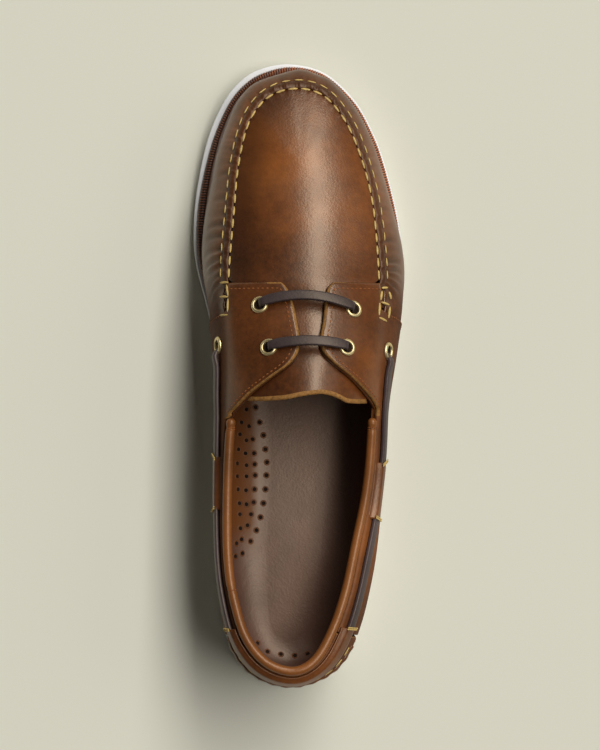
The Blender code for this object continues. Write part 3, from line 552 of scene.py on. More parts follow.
spring = smooth(LAST, 1)
arch = smooth(LAST, 2)
lift = smooth(LAST, 3)
girth_height = smooth(LAST, 4)
edge_height = smooth(LAST, 5)
crown_height = smooth(LAST, 6)
fullness = smooth(LAST, 7)
crown_across = smooth(CROWN_LINE, 1)
throat_inner = smooth(THROAT, 1)
throat_outer = smooth(THROAT, 2)
quarter_edge = smooth(QUARTER_EDGE, 1)
quarter_front = smooth([(v, along) for along, v in QUARTER_EDGE[1:-1]], 1)
lace_inner = smooth(LACE_LINE, 1)
lace_outer = smooth(LACE_LINE, 2)
tongue_end = smooth(TONGUE_END, 1)
tongue_side = smooth(TONGUE_SIDE, 1)
tongue_depth = smooth(TONGUE_SIDE, 2)
band_line = smooth(BAND_LINE, 1)


def closed_curve(points):
    """Dense points of a smooth closed curve through an outline's shares, in metres."""
    corners = [Vector((x * HALF_WIDTH, y * HALF_LENGTH)) for x, y in points]
    count = len(corners)
    curve = []
    for i in range(count):
        before, start, end, after = (corners[(i + k) % count] for k in (-1, 0, 1, 2))
        for step in range(SPAN_STEPS):
            t = step / SPAN_STEPS
            curve.append(0.5 * (2 * start + (end - before) * t
                                + (2 * before - 5 * start + 4 * end - after) * t * t
                                + (3 * start - before - 3 * end + after) * t ** 3))
    return curve


SOLE_CURVE = closed_curve(SOLE_OUTLINE)
GIRTH_CURVE = closed_curve(GIRTH_OUTLINE)
EDGE_CURVE = closed_curve(EDGE_OUTLINE)


def reach(curve, origin, direction):
    """Distance from origin along direction to a closed curve."""
    side = Vector((-direction.y, direction.x))
    offsets = [(point - origin).dot(side) for point in curve]
    for i, offset in enumerate(offsets):
        following = offsets[i - len(offsets) + 1]
        if (offset < 0) == (following < 0):
            continue
        t = offset / (offset - following)
        hit = curve[i].lerp(curve[i - len(curve) + 1], t) - origin
        if hit.dot(direction) > 0:
            return hit.dot(direction)
    raise ValueError("a curve doesn't go round its middle")


def ground(along):
    """Underside of the sole."""
    return spring(along) * TOE_SPRING + arch(along) * ARCH_RISE


def sole_top(along):
    """Ledge of the sole that carries the welt."""
    return spring(along) * TOE_SPRING + FOREFOOT_SOLE + lift(along) * (HEEL_SOLE - FOREFOOT_SOLE)


def crown_rise(along):
    """Slope of the crown line towards the toe."""
    return ((crown_height(along + SLOPE_STEP) - crown_height(along - SLOPE_STEP)) * INSTEP_HEIGHT
            / (2 * SLOPE_STEP * HALF_LENGTH))


def feather_height(along):
    """Bottom of the upper, just clear of the welt."""
    return sole_top(along) + WELT_HEIGHT + 1.5 * CLEARANCE


class Section:
    """One upright half section of the shoe: where it stands and what it crosses."""

    def __init__(self, u):
        leg = int(u) % 4
        share = u - int(u)
        turn = math.pi * share
        if leg == 0:
            along = TOE_CENTRE
            self.direction = Vector((math.cos(turn), math.sin(turn)))
        elif leg == 1:
            along = TOE_CENTRE + (HEEL_CENTRE - TOE_CENTRE) * share
            self.direction = Vector((-1.0, 0.0))
        elif leg == 2:
            along = HEEL_CENTRE
            self.direction = Vector((-math.cos(turn), -math.sin(turn)))
        else:
            along = HEEL_CENTRE + (TOE_CENTRE - HEEL_CENTRE) * share
            self.direction = Vector((1.0, 0.0))
        self.along = along
        self.straight = leg in (1, 3)
        self.origin = Vector((crown_across(along) * HALF_WIDTH, along * HALF_LENGTH))
        inward = (1 - self.direction.x) / 2
        self.sole = reach(SOLE_CURVE, self.origin, self.direction)
        self.welt = self.sole - WELT_STEP_OUTER - (WELT_STEP_INNER - WELT_STEP_OUTER) * inward
        self.feather = self.welt - WELT_SHOW
        self.seat = self.feather - WALL - WELT_SEAT
        self.girth = reach(GIRTH_CURVE, self.origin, self.direction)
        self.edge = reach(EDGE_CURVE, self.origin, self.direction)
        self.feather_z = feather_height(self.share_at(self.feather))
        self.edge_z = edge_height(self.share_at(self.edge)) * COLLAR_HEIGHT
        rise = girth_height(self.share_at(self.girth))
        self.girth_z = self.feather_z + rise * (self.edge_z - self.feather_z)
        self.crown_z = crown_height(along) * INSTEP_HEIGHT
        self.crown_slope = self.direction.y * crown_rise(along)

    def share_at(self, distance):
        """Place along the shoe of a point of this section, as a share of HALF_LENGTH."""
        return (self.origin.y + self.direction.y * distance) / HALF_LENGTH

    def place(self, distance, z):
        """Point of this section's plane."""
        flat = self.origin + self.direction * distance
        return Vector((flat.x, flat.y, z))

    def profile(self, v):
        """Distance and height of the surface's point v."""
        if v <= GIRTH_V:
            t = v / GIRTH_V
            middle = (self.girth, self.feather_z + FEATHER_FULLNESS * (self.girth_z - self.feather_z))
            return bezier((self.feather, self.feather_z), middle, (self.girth, self.girth_z), t)
        if v <= 1:
            t = (v - GIRTH_V) / (1 - GIRTH_V)
            return bezier((self.girth, self.girth_z), self.shoulder(), (self.edge, self.edge_z), t)
        t = v - 1
        knee = self.shoulder()
        tangent = Vector((self.edge - knee[0], self.edge_z - knee[1])).normalized()
        length = fullness(self.along) * self.edge
        first = (self.edge + tangent.x * length, self.edge_z + tangent.y * length)
        reach_in = CROWN_FULLNESS * self.edge
        second = (reach_in, self.crown_z + self.crown_slope * reach_in)
        return tuple((1 - t) ** 3 * a + 3 * t * (1 - t) ** 2 * b + 3 * t * t * (1 - t) * c + t ** 3 * d
                     for a, b, c, d in zip((self.edge, self.edge_z), first, second, (0.0, self.crown_z)))

    def shoulder(self):
        """Control point between the widest line and the edge."""
        return (self.girth, self.girth_z + SHOULDER_FULLNESS * (self.edge_z - self.girth_z))


def bezier(start, middle, end, t):
    """Point of a curve that leaves start towards middle and comes to end from it."""
    return tuple((1 - t) ** 2 * a + 2 * t * (1 - t) * b + t * t * c for a, b, c in zip(start, middle, end))


@lru_cache(maxsize=None)
def section(u):
    """The section at u, made once."""
    return Section(u % 4)


@lru_cache(maxsize=None)
def frame_at(u, v):
    """Point of the surface, its outward normal and the direction up it."""
    here = section(u)
    point = here.place(*here.profile(v))
    step = SLOPE_STEP
    if v > 2 - step:
        normal = Vector((0, -crown_rise(here.along), 1)).normalized()
        return point, normal, Vector((-here.direction.x, -here.direction.y, 0))
    low, high = max(v - step, 0), v + step
    if low < 1 < high:
        low, high = 1 - 2 * step, 1
    upward = (here.place(*here.profile(high)) - here.place(*here.profile(low))).normalized()
    ahead, behind = section(u + step), section(u - step)
    onward = ahead.place(*ahead.profile(v)) - behind.place(*behind.profile(v))
    normal = onward.cross(upward).normalized()
    outward = Vector((here.direction.x, here.direction.y, 0))
    if normal.dot(outward) + normal.z < 0:
        normal.negate()
    return point, normal, upward


def surface(u, v, h=0.0):
    """Point that stands h off the surface."""
    point, normal, _ = frame_at(u, v)
    return point + normal * h


def at(side, along):
    """u of the straight section at a place along the shoe; side is -1 inner, 1 outer."""
    share = (TOE_CENTRE - along) / (TOE_CENTRE - HEEL_CENTRE)
    return 1 + share if side < 0 else 4 - share


def v_at(u, distance):
    """v of the surface's point at a distance from the crown line, above the edge."""
    low, high = 1.0, 2.0
    for _ in range(30):
        middle = (low + high) / 2
        if section(u).profile(middle)[0] > distance:
            low = middle
        else:
            high = middle
    return high


def over(along, across):
    """(u, v) of the top surface's point at a place seen from above, in shares."""
    aside = (across - crown_across(along)) * HALF_WIDTH
    u = at(1 if aside > 0 else -1, along)
    return u, v_at(u, abs(aside))


@lru_cache(maxsize=None)
def throat_v(u):
    """v of the throat edge of the straight sections."""
    here = section(u)
    if here.along <= COLLAR_FRONT:
        return 1.0
    across = throat_inner(here.along) if here.direction.x < 0 else throat_outer(here.along)
    distance = abs(across - crown_across(here.along)) * HALF_WIDTH
    return v_at(u, min(distance, here.edge))


def lace_v(u):
    """v of the side lace's middle."""
    here = section(u)
    line = lace_inner if here.direction.x < 0 else lace_outer
    return line(here.share_at(here.edge))


def spread(start, end, step):
    """Values of u from start to end, about step metres apart; past 4 they go on round the toe."""
    count = max(2, round(abs(end - start) * SIDE_LENGTH / step))
    return [start + (end - start) * i / count for i in range(count + 1)]


def lower(u, v, distance):
    """v of the point that many metres below another on the same section."""
    step = 0.02
    length = (surface(u, v) - surface(u, v - step)).length
    return v - distance * step / length


def ripple(point, scale, seed=0.0):
    """Smooth uneven value between about -1 and 1."""
    return noise.noise(point * scale + Vector((seed, 3.1 * seed, -1.7 * seed)))


def ease(x, low, high):
    """0 below low, 1 above high, soft between."""
    t = min(max((x - low) / (high - low), 0.0), 1.0)
    return t * t * (3 - 2 * t)


def bump(x, width):
    """A soft hump round 0."""
    return math.exp(-(x / width) ** 2)


# Making meshes


def add_grid(shape, spans, rows):
    """Adds a grid and lists its vertices, each with its column and row."""
    made = bmesh.ops.create_grid(shape, x_segments=spans, y_segments=rows, size=0.5)["verts"]
    return [(vertex, round((vertex.co.x + 0.5) * spans), round((vertex.co.y + 0.5) * rows))
            for vertex in made]


def face_outward(shape):
    """Turns all faces of an open shape the same way, up on the whole."""
    bmesh.ops.recalc_face_normals(shape, faces=shape.faces)
    if sum(face.normal.z * face.calc_area() for face in shape.faces) < 0:
        bmesh.ops.reverse_faces(shape, faces=shape.faces)


def lay(shape, us, column, height, tone=None, finish=None, dull=None):
    """Adds a grid laid over the surface: column(u) lists its v's, height(u, v, i, j) stands it off.

    tone(u, v, i, j) paints shade on it, dull(u, v) takes its shine and finish(i, j) picks a face's material.
    """
    columns = [column(u) for u in us]
    tones = shape.verts.layers.float.get("tone") or shape.verts.layers.float.new("tone")
    dulls = shape.verts.layers.float.get("dull") or shape.verts.layers.float.new("dull")
    places = {}
    for vertex, i, j in add_grid(shape, len(us) - 1, len(columns[0]) - 1):
        u, v = us[i], columns[i][j]
        places[vertex] = (i, j)
        vertex.co = surface(u, v, height(u, v, i, j))
        if tone:
            vertex[tones] = tone(u, v, i, j)
        if dull:
            vertex[dulls] = dull(u, v)
    if finish:
        for face in {face for vertex in places for face in vertex.link_faces}:
            face.material_index = finish(min(places[vertex][0] for vertex in face.verts),
                                         min(places[vertex][1] for vertex in face.verts))


def sweep(shape, frames, outline):
    """Adds a closed skin through sections: frames are (point, aside, up), outline(i) lists (aside, up)."""
    spans = len(frames) - 1
    rows = len(outline(0))
    sections = [outline(i) for i in range(spans + 1)]
    made = []
    for vertex, i, j in add_grid(shape, spans, rows):
        point, aside, up = frames[i]
        across, off = sections[i][j % rows]
        vertex.co = point + aside * across + up * off
        made.append(vertex)
    bmesh.ops.remove_doubles(shape, verts=made, dist=0.001 * MM)
    made = [vertex for vertex in made if vertex.is_valid]
    rims = {edge for vertex in made for edge in vertex.link_edges if edge.is_boundary}
    bmesh.ops.holes_fill(shape, edges=list(rims), sides=0)
    bmesh.ops.recalc_face_normals(shape, faces=list({face for vertex in made for face in vertex.link_faces}))


def ring_outline(radius_x, radius_y, sides):
    """An oval cross section."""
    return [(radius_x * math.cos(math.tau * k / sides), radius_y * math.sin(math.tau * k / sides))
            for k in range(sides)]


def lace_outline():
    """Cross section of a flat lace with rounded edges."""
    side, low, high = LACE_HALF - LACE_ROUNDING, LACE_ROUNDING, LACE_THICKNESS - LACE_ROUNDING
    points = []
    for centre_x, centre_y, first in ((side, low, -90), (side, high, 0), (-side, high, 90),
                                      (-side, low, 180)):
        for turn in (0, 30, 60, 90):
            angle = math.radians(first + turn)
            points.append((centre_x + LACE_ROUNDING * math.cos(angle),
                           centre_y + LACE_ROUNDING * math.sin(angle)))
    return points


def piece(name, shape, finishes, replaces, thickness=0.0):
    """Ends a bmesh as a piece of the shoe in the frame's own place."""
    bmesh.ops.translate(shape, verts=shape.verts, vec=SHIFT)
    mesh = bpy.data.meshes.new(name)
    shape.to_mesh(mesh)
    shape.free()
    mesh.shade_smooth()
    for finish in finishes:
        mesh.materials.append(bpy.data.materials[finish])
    made = bpy.data.objects.new(name, mesh)
    bpy.context.collection.objects.link(made)
    if thickness:
        wall = made.modifiers.new("wall", "SOLIDIFY")
        wall.thickness = thickness
        wall.offset = -1.0
    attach(made, "root")
    if replaces:
        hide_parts(*replaces)
    return made


def merge(shape):
    """Closes the seams and poles of a shape."""
    bmesh.ops.remove_doubles(shape, verts=shape.verts, dist=0.005 * MM)


def along_path(spots, lift_off):
    """(distance, point, normal) along spots of the surface, which are (u, v)."""
    path = []
    distance = 0.0
    for u, v in spots:
        point, normal, _ = frame_at(u, v)
        point = point + normal * lift_off
        if path:
            distance += (point - path[-1][1]).length
        path.append((distance, point, normal))
    return path


def on_path(path, distance):
    """Point and normal at a distance along a path."""
    for before, after in zip(path, path[1:]):
        if after[0] >= distance:
            share = (distance - before[0]) / (after[0] - before[0])
            return before[1].lerp(after[1], share), before[2].lerp(after[2], share).normalized()
    return path[-1][1], path[-1][2]


def add_stitch(shape, start, end, normal, radius):
    """Adds one stitch of thread between two points."""
    run = end - start
    aside = normal.cross(run).normalized()
    up = run.cross(aside).normalized()
    turn = Matrix((run.normalized(), aside, up)).transposed().to_4x4()
    matrix = (Matrix.Translation((start + end) / 2) @ turn
              @ Matrix.Diagonal((run.length / 2, radius, radius * STITCH_FLATNESS, 1)))
    bmesh.ops.create_uvsphere(shape, u_segments=8, v_segments=6, radius=1,
                              matrix=matrix @ Matrix.Rotation(math.pi / 2, 4, "Y"))


def sew(shape, spots, lift_off, pitch, length, radius, wander=0.0):
    """Adds a row of stitches along spots of the surface."""
    path = along_path(spots, lift_off)
    count = int(path[-1][0] / pitch)
    for k in range(count):
        middle = (k + 0.5) * path[-1][0] / count
        start, normal = on_path(path, middle - length / 2)
        end, _ = on_path(path, middle + length / 2)
        aside = normal.cross(end - start).normalized()
        sway = wander * ripple(start, 700)
        add_stitch(shape, start + aside * sway, end - aside * sway * 0.6, normal, radius)


def tacked(u, mid_v, lean):
    """(u, v)'s up a bar tack across the lace."""
    return [(u + lean * (k / 6 - 0.5), mid_v - TACK_REACH + 2 * TACK_REACH * k / 6) for k in range(7)]


def photo_ray(x, y):
    """Direction from the photograph's camera through one of its pixels."""
    return Vector(((x - NADIR_X) / PIXELS_PER_SLOPE, (NADIR_Y - y) / PIXELS_PER_SLOPE, -1)).normalized()


def under_pixel(tree, x, y):
    """Point and normal of the first thing that a pixel of the photograph shows."""
    point, normal, _, _ = tree.ray_cast(CAMERA_PLACE, photo_ray(x, y))
    if point is None:
        raise RuntimeError(f"nothing lies under the photograph's pixel {x}, {y}")
    return point, normal if normal.z > 0 else -normal


# Finishes


def new_finish(name, roughness, **sockets):
    """A material with its shader, whose even values are set on the shader itself."""
    made = bpy.data.materials.new(name)
    made.use_nodes = True
    shader = made.node_tree.nodes["Principled BSDF"]
    shader.inputs["Roughness"].default_value = roughness
    for socket, value in sockets.items():
        shader.inputs[socket.replace("_", " ")].default_value = value
    return made.node_tree, shader


def add_node(tree, kind, values=None, **options):
    """A node with some of its inputs set or linked."""
    made = tree.nodes.new(kind)
    for option, value in options.items():
        setattr(made, option, value)
    for socket, value in (values or {}).items():
        if isinstance(value, bpy.types.NodeSocket):
            tree.links.new(value, made.inputs[socket])
        else:
            made.inputs[socket].default_value = value
    return made


def object_place(tree):
    """Object coordinates."""
    return add_node(tree, "ShaderNodeTexCoord").outputs["Object"]


def attribute(tree, name):
    """A value that the vertices carry."""
    return add_node(tree, "ShaderNodeAttribute", attribute_name=name).outputs["Fac"]


def shaded(colour, share):
    """A darker or lighter tone of a colour."""
    return [share * channel for channel in colour]


def add_noise(tree, place, scale, detail=3.0, roughness=0.55):
    """A cloudy value from 0 to 1."""
    return add_node(tree, "ShaderNodeTexNoise", {"Vector": place, "Scale": scale, "Detail": detail,
                                                 "Roughness": roughness}).outputs["Fac"]


def add_ramp(tree, factor, stops):
    """A colour ramp; stops are (place, colour)."""
    ramp = add_node(tree, "ShaderNodeValToRGB", {"Fac": factor})
    elements = ramp.color_ramp.elements
    while len(elements) < len(stops):
        elements.new(0.5)
    for element, (place, colour) in zip(elements, stops):
        element.position = place
        element.color = (*colour, 1)
    return ramp.outputs["Color"]


def add_mix(tree, factor, first, second):
    """Two colours mixed."""
    mix = tree.nodes.new("ShaderNodeMix")
    mix.data_type = "RGBA"
    for socket, value in zip((mix.inputs[0], mix.inputs[6], mix.inputs[7]), (factor, first, second)):
        if isinstance(value, bpy.types.NodeSocket):
            tree.links.new(value, socket)
        elif isinstance(value, float):
            socket.default_value = value
        else:
            socket.default_value = (*value, 1)
    return mix.outputs[2]


def add_bump(tree, shader, height, strength, distance, under=None):
    """Fine relief on the shader, over the relief given as under."""
    values = {"Height": height, "Strength": strength, "Distance": distance}
    if under:
        values["Normal"] = under
    made = add_node(tree, "ShaderNodeBump", values).outputs["Normal"]
    tree.links.new(made, shader.inputs["Normal"])
    return made


def add_range(tree, value, low, high):
    """A value from 0 to 1 turned into one from low to high."""
    return add_node(tree, "ShaderNodeMapRange", {"Value": value, "To Min": low, "To Max": high}).outputs[0]


def paint(tree, shader, factor, stops):
    """Links a colour ramp to the shader's colour."""
    tree.links.new(add_ramp(tree, factor, stops), shader.inputs["Base Color"])


def leather_finish(name, dark, mid, light, gloss, shine=0.5, second=None, dulled=False):
    """Oiled leather: cloudy pull-up tones, painted shade in folds and low places, fine pores and uneven
    gloss.

    It shines less where a second colour lies on it, or where its pieces carry the dull attribute.
    """
    tree, shader = new_finish(name, gloss, Specular_Tint=WARM_SHINE, Specular_IOR_Level=shine)
    place = object_place(tree)
    cloud = add_noise(tree, place, CLOUD_SCALE, 4, 0.6)
    tone = add_ramp(tree, cloud, ((0.33, dark), (0.51, mid), (0.70, light)))
    grain = add_noise(tree, place, GRAIN_SCALE, 3, 0.7)
    tone = add_mix(tree, 0.22, tone, add_ramp(tree, grain, ((0.3, dark), (0.75, light))))
    matt = None
    if second:
        matt = attribute(tree, "tan")
        tone = add_mix(tree, matt, tone, second)
    # Painted shade: where a piece carries the tone attribute, the colour goes to a darker share of the dark
    # leather.
    tone = add_mix(tree, attribute(tree, "tone"), tone, shaded(dark, 0.55))
    tree.links.new(tone, shader.inputs["Base Color"])
    rough = add_range(tree, add_noise(tree, place, GLOSS_SCALE, 3), gloss - 0.09, gloss + 0.12)
    if dulled:
        matt = attribute(tree, "dull")
        rough = add_node(tree, "ShaderNodeMath", {0: rough, 1: matt}, operation="ADD",
                         use_clamp=True).outputs[0]
    tree.links.new(rough, shader.inputs["Roughness"])
    if matt:
        tree.links.new(add_range(tree, matt, shine, 0.2 * shine), shader.inputs["Specular IOR Level"])
    pores = add_node(tree, "ShaderNodeTexVoronoi", {"Vector": place, "Scale": PORE_SCALE}, feature="F1")
    under = add_bump(tree, shader, pores.outputs["Distance"], 0.20, 0.15 * MM)
    add_bump(tree, shader, add_noise(tree, place, WRINKLE_SCALE, 4, 0.6), 0.26, 0.25 * MM, under)


def make_finishes():
    """Leathers, threads, brass, rubbers, welt beads and floor paper."""
    chosen = settings()
    dark, mid, light = (tuple(getattr(chosen, "leather_" + tone)) for tone in ("dark", "mid", "light"))
    leather_finish("brown leather", dark, mid, light, 0.32, 0.68, dulled=True)
    leather_finish("seam leather", shaded(dark, 0.6), shaded(mid, 0.7), mid, 0.44)
    for name, setting, low, high, gloss, shine, second in LEATHERS:
        colour = tuple(getattr(chosen, setting))
        leather_finish(name, shaded(colour, low), colour, shaded(colour, high), gloss, shine,
                       tuple(getattr(chosen, second)) if second else None)

    tree, shader = new_finish("raw edge", 0.75, Specular_IOR_Level=0.25)
    place = object_place(tree)
    raw = tuple(chosen.raw_edge)
    fibres = add_noise(tree, place, 700, 4, 0.7)
    paint(tree, shader, fibres, ((0.3, shaded(raw, 0.45)), (0.55, raw), (0.8, shaded(raw, 1.4))))
    add_bump(tree, shader, fibres, 0.5, 0.3 * MM)

    for name, colour, rough in (("hand thread", tuple(chosen.thread_colour), 0.55),
                                ("brown thread", shaded(light, 1.2), 0.6)):
        tree, shader = new_finish(name, rough, Specular_IOR_Level=0.3)
        place = object_place(tree)
        twist = add_noise(tree, place, 900, 2, 0.6)
        paint(tree, shader, twist, ((0.3, shaded(colour, 0.6)), (0.7, colour)))
        add_bump(tree, shader, twist, 0.5, 0.2 * MM)

    tree, shader = new_finish("brass", 0.24, Metallic=1.0)
    place = object_place(tree)
    brass = tuple(chosen.brass_colour)
    tarnish = add_noise(tree, place, 260, 3, 0.6)
    paint(tree, shader, tarnish, ((0.3, shaded(brass, 0.6)), (0.6, brass)))
    tree.links.new(add_range(tree, tarnish, 0.34, 0.18), shader.inputs["Roughness"])

    tree, shader = new_finish("eyelet shadow", 0.9, Specular_IOR_Level=0.1)
    paint(tree, shader, add_noise(tree, object_place(tree), 300),
          ((0.3, (0.006, 0.004, 0.003)), (0.7, (0.020, 0.010, 0.006))))

    tree, shader = new_finish("white rubber", 0.5, Specular_IOR_Level=0.35)
    place = object_place(tree)
    rubber = tuple(chosen.rubber_colour)
    paint(tree, shader, add_noise(tree, place, 30, 5, 0.65), ((0.25, shaded(rubber, 0.86)), (0.6, rubber)))
    add_bump(tree, shader, add_noise(tree, place, 900, 2), 0.12, 0.15 * MM)

    tree, shader = new_finish("tread rubber", 0.6, Specular_IOR_Level=0.3)
    place = object_place(tree)
    cuts = add_node(tree, "ShaderNodeTexWave", {"Vector": place, "Scale": 68.0, "Distortion": 3.0,
                                                "Detail": 0.0, "Detail Scale": 1.0},
                    wave_type="BANDS", bands_direction="Y", wave_profile="SIN").outputs["Fac"]
    # Painted shade in the tread's cuts: they are coloured darker, and also bumped down.
    paint(tree, shader, cuts, ((0.03, shaded(rubber, 0.30)), (0.14, shaded(rubber, 0.94))))
    add_bump(tree, shader, add_ramp(tree, cuts, ((0.03, (0, 0, 0)), (0.16, (1, 1, 1)))), 0.8, 0.8 * MM)

    tree, shader = new_finish("welt beads", 0.42, Specular_IOR_Level=0.4)
    bead = tuple(chosen.bead_colour)
    # The tone attribute is painted shade: near black in the grooves and darker on the inner side.
    gap = attribute(tree, "tone")
    worn = add_mix(tree, 0.3, bead, add_ramp(tree, add_noise(tree, object_place(tree), 160),
                                             ((0.3, shaded(bead, 0.5)), (0.7, shaded(bead, 1.4)))))
    tree.links.new(add_mix(tree, gap, worn, shaded(bead, 0.06)), shader.inputs["Base Color"])

    tree, shader = new_finish("floor paper", 0.85, Specular_IOR_Level=0.15)
    paper = tuple(chosen.floor_colour)
    paint(tree, shader, add_noise(tree, object_place(tree), 3, 3, 0.5),
          ((0.3, shaded(paper, 0.985)), (0.7, paper)))


# Pieces


def make_outsole():
    """White sole unit with its groove, heel and tread."""
    shape = bmesh.new()
    us = [4 * i / SOLE_STEPS for i in range(SOLE_STEPS)]
    outer = []
    for u in us:
        here = section(u)
        side = here.share_at(here.sole)
        bottom, top = ground(side), sole_top(side)
        high = top - bottom
        under = [share * here.sole for share in SOLE_UNDER] + [here.sole - SOLE_CHAMFER]
        ring = [here.place(distance, ground(here.share_at(distance))) for distance in under]
        for inset, share in SOLE_FOOT:
            ring.append(here.place(here.sole - inset * SOLE_CHAMFER, bottom + share * high))
        for inset, share in SOLE_SIDE:
            ring.append(here.place(here.sole - inset * SOLE_GROOVE, bottom + share * high))
        ring.append(here.place(here.sole, top - SOLE_LIP))
        ring.append(here.place(here.sole - 0.3 * SOLE_LIP, top - 0.3 * SOLE_LIP))
        for inset in (SOLE_LIP, here.sole - here.feather + WALL):
            ring.append(here.place(here.sole - inset, sole_top(here.share_at(here.sole - inset))))
        ring.append(here.place(0.0, sole_top(here.along)))
        outer.append(ring)
    places = {}
    for vertex, i, j in add_grid(shape, len(us), len(outer[0]) - 1):
        places[vertex] = j
        vertex.co = outer[i % len(us)][j]
    for face in shape.faces:
        if max(places[vertex] for vertex in face.verts) <= len(SOLE_UNDER):
            face.material_index = 1
    merge(shape)
    bmesh.ops.dissolve_degenerate(shape, edges=shape.edges, dist=0.001 * MM)
    bmesh.ops.recalc_face_normals(shape, faces=shape.faces)
    piece("outsole_unit", shape, ("white rubber", "tread rubber"), ("outsole",))


def even_loop(distance, count):
    """u values evenly spaced along the line at distance(section) round the shoe."""
    dense = [4 * i / 1200 for i in range(1201)]
    points = [section(u).place(distance(section(u)), 0) for u in dense]
    lengths = [0.0]
    for before, after in zip(points, points[1:]):
        lengths.append(lengths[-1] + (after - before).length)
    us = []
    i = 0
    for k in range(count):
        goal = lengths[-1] * k / count
        while lengths[i + 1] < goal:
            i += 1
        us.append(dense[i] + (dense[i + 1] - dense[i]) * (goal - lengths[i]) / (lengths[i + 1] - lengths[i]))
    return us, lengths[-1]


def make_welt():
    """Beaded strip between the sole and the upper."""
    _, length = even_loop(lambda here: here.welt, 10)
    beads = round(length / settings().bead_pitch)
    us, _ = even_loop(lambda here: here.welt, beads * STEPS_PER_BEAD)
    shape = bmesh.new()
    tones = shape.verts.layers.float.new("tone")
    rows = len(WELT_SECTION) - 1
    for vertex, i, j in add_grid(shape, len(us), rows):
        here = section(us[i % len(us)])
        gap = (0.5 + 0.5 * math.cos(math.tau * (i % STEPS_PER_BEAD) / STEPS_PER_BEAD)) ** 1.5
        inset, rise = WELT_SECTION[j]
        inner = ease(-here.direction.x, -0.15, 0.5)
        drawn_in = WELT_DRAWN_IN * ease(here.share_at(here.welt), 0.45, 0.85) * inner * (j < 5)
        groove = gap * (BEAD_GROOVE if j < rows - 1 else 0.0)
        distance = here.welt - drawn_in - inset * WELT_SHOW - groove * (1.0 if j < 3 else 0.2)
        height = sole_top(here.share_at(distance)) + rise * WELT_HEIGHT - groove * (0.0 if j < 2 else 0.8)
        vertex.co = here.place(distance, height)
        # Painted shade: dark in the grooves between the beads, and darker on the inner side, which the upper
        # shades.
        vertex[tones] = min(1.0, 1.15 * gap + 0.5 * inner)
    merge(shape)
    piece("beaded_welt", shape, ("welt beads",), ("welt",), thickness=WELT_SHEET)


def make_inside():
    """Insole, lining and the holes punched in them."""
    shape = bmesh.new()
    us = [4 * i / INSOLE_STEPS for i in range(INSOLE_STEPS)]
    flat_rows, cup_rows = 9, 8
    tans = shape.verts.layers.float.new("tan")
    for vertex, i, j in add_grid(shape, len(us), flat_rows + cup_rows):
        here = section(us[i % len(us)])
        wall, wall_z = here.profile(CUP_V)
        wall -= WALL
        flat = here.feather - WALL - CUP_WIDTH
        if j <= flat_rows:
            distance, rise = flat * j / flat_rows, 0.0
        else:
            level = feather_height(here.share_at(flat)) + INSOLE_THICKNESS
            distance, height = bezier((flat, level), (wall - 0.15 * CUP_WIDTH, level + CUP_DIP),
                                      (wall, wall_z), (j - flat_rows) / cup_rows)
            rise = height - level
        flat_z = feather_height(here.share_at(min(distance, flat))) + INSOLE_THICKNESS
        soft = 0.4 * MM * ripple(here.place(distance, 0), 30)
        vertex.co = here.place(distance, flat_z + rise + soft)
        along = here.share_at(distance)
        vertex[tans] = (ease(-vertex.co.x, *INLAY_ACROSS) * ease(along, *INLAY_BACK)
                        * (1 - ease(along, *INLAY_FRONT)))
    merge(shape)
    face_outward(shape)
    insole_tree = BVHTree.FromBMesh(shape)
    piece("insole_sock", shape, ("insole leather",), ("insole",), thickness=INSOLE_SHEET)

    shape = bmesh.new()
    us = spread(at(-1, 0.02), at(1, 0.02), LINING_STEP)
    depth = WALL + 0.25 * MM

    def wrinkle(u, v, i, j):
        return -depth + 0.12 * MM * ripple(surface(u, v), 90)

    lay(shape, us, lambda u: [CUP_V - 0.03 + (1.03 - CUP_V) * j / 24 for j in range(25)], wrinkle)
    bmesh.ops.reverse_faces(shape, faces=shape.faces)
    lining_tree = BVHTree.FromBMesh(shape)
    piece("lining", shape, ("lining leather",), (), thickness=LINING_SHEET)

    shape = bmesh.new()
    radius = settings().hole_radius
    for x, y in PUNCHED_HOLES:
        hits = []
        for tree in (insole_tree, lining_tree):
            point, normal, _, distance = tree.ray_cast(CAMERA_PLACE, photo_ray(x, y))
            if point is not None:
                hits.append((distance, point, normal if normal.z > 0 else -normal))
        if not hits:
            raise RuntimeError(f"the punched hole at {x}, {y} misses the lining and the insole")
        _, point, normal = min(hits, key=lambda hit: hit[0])
        turn = normal.to_track_quat("Z", "Y").to_matrix().to_4x4()
        place = Matrix.Translation(point) @ turn
        # Each hole is a dark disc of painted shadow just over the leather, ringed by a raised lip of lining.
        bmesh.ops.create_circle(shape, cap_ends=True, segments=HOLE_SIDES, radius=radius,
                                matrix=place @ Matrix.Translation((0, 0, HOLE_LIFT)))
        rings = [bmesh.ops.create_circle(shape, segments=HOLE_SIDES, radius=reach_out,
                                         matrix=place @ Matrix.Translation((0, 0, rise)))["verts"]
                 for reach_out, rise in ((radius, HOLE_LIFT), (1.25 * radius, 2.5 * HOLE_LIFT),
                                         (1.7 * radius, 0.0))]
        for low, high in zip(rings, rings[1:]):
            edges = [edge for edge in {e for vertex in low + high for e in vertex.link_edges}
                     if not edge.link_faces or edge.is_boundary]
            edges = [edge for edge in edges
                     if (edge.verts[0] in low and edge.verts[1] in low)
                     or (edge.verts[0] in high and edge.verts[1] in high)]
            for face in bmesh.ops.bridge_loops(shape, edges=edges)["faces"]:
                face.material_index = 1
    merge(shape)
    bmesh.ops.recalc_face_normals(shape, faces=shape.faces)
    piece("punched_holes", shape, ("eyelet shadow", "lining leather"), ())


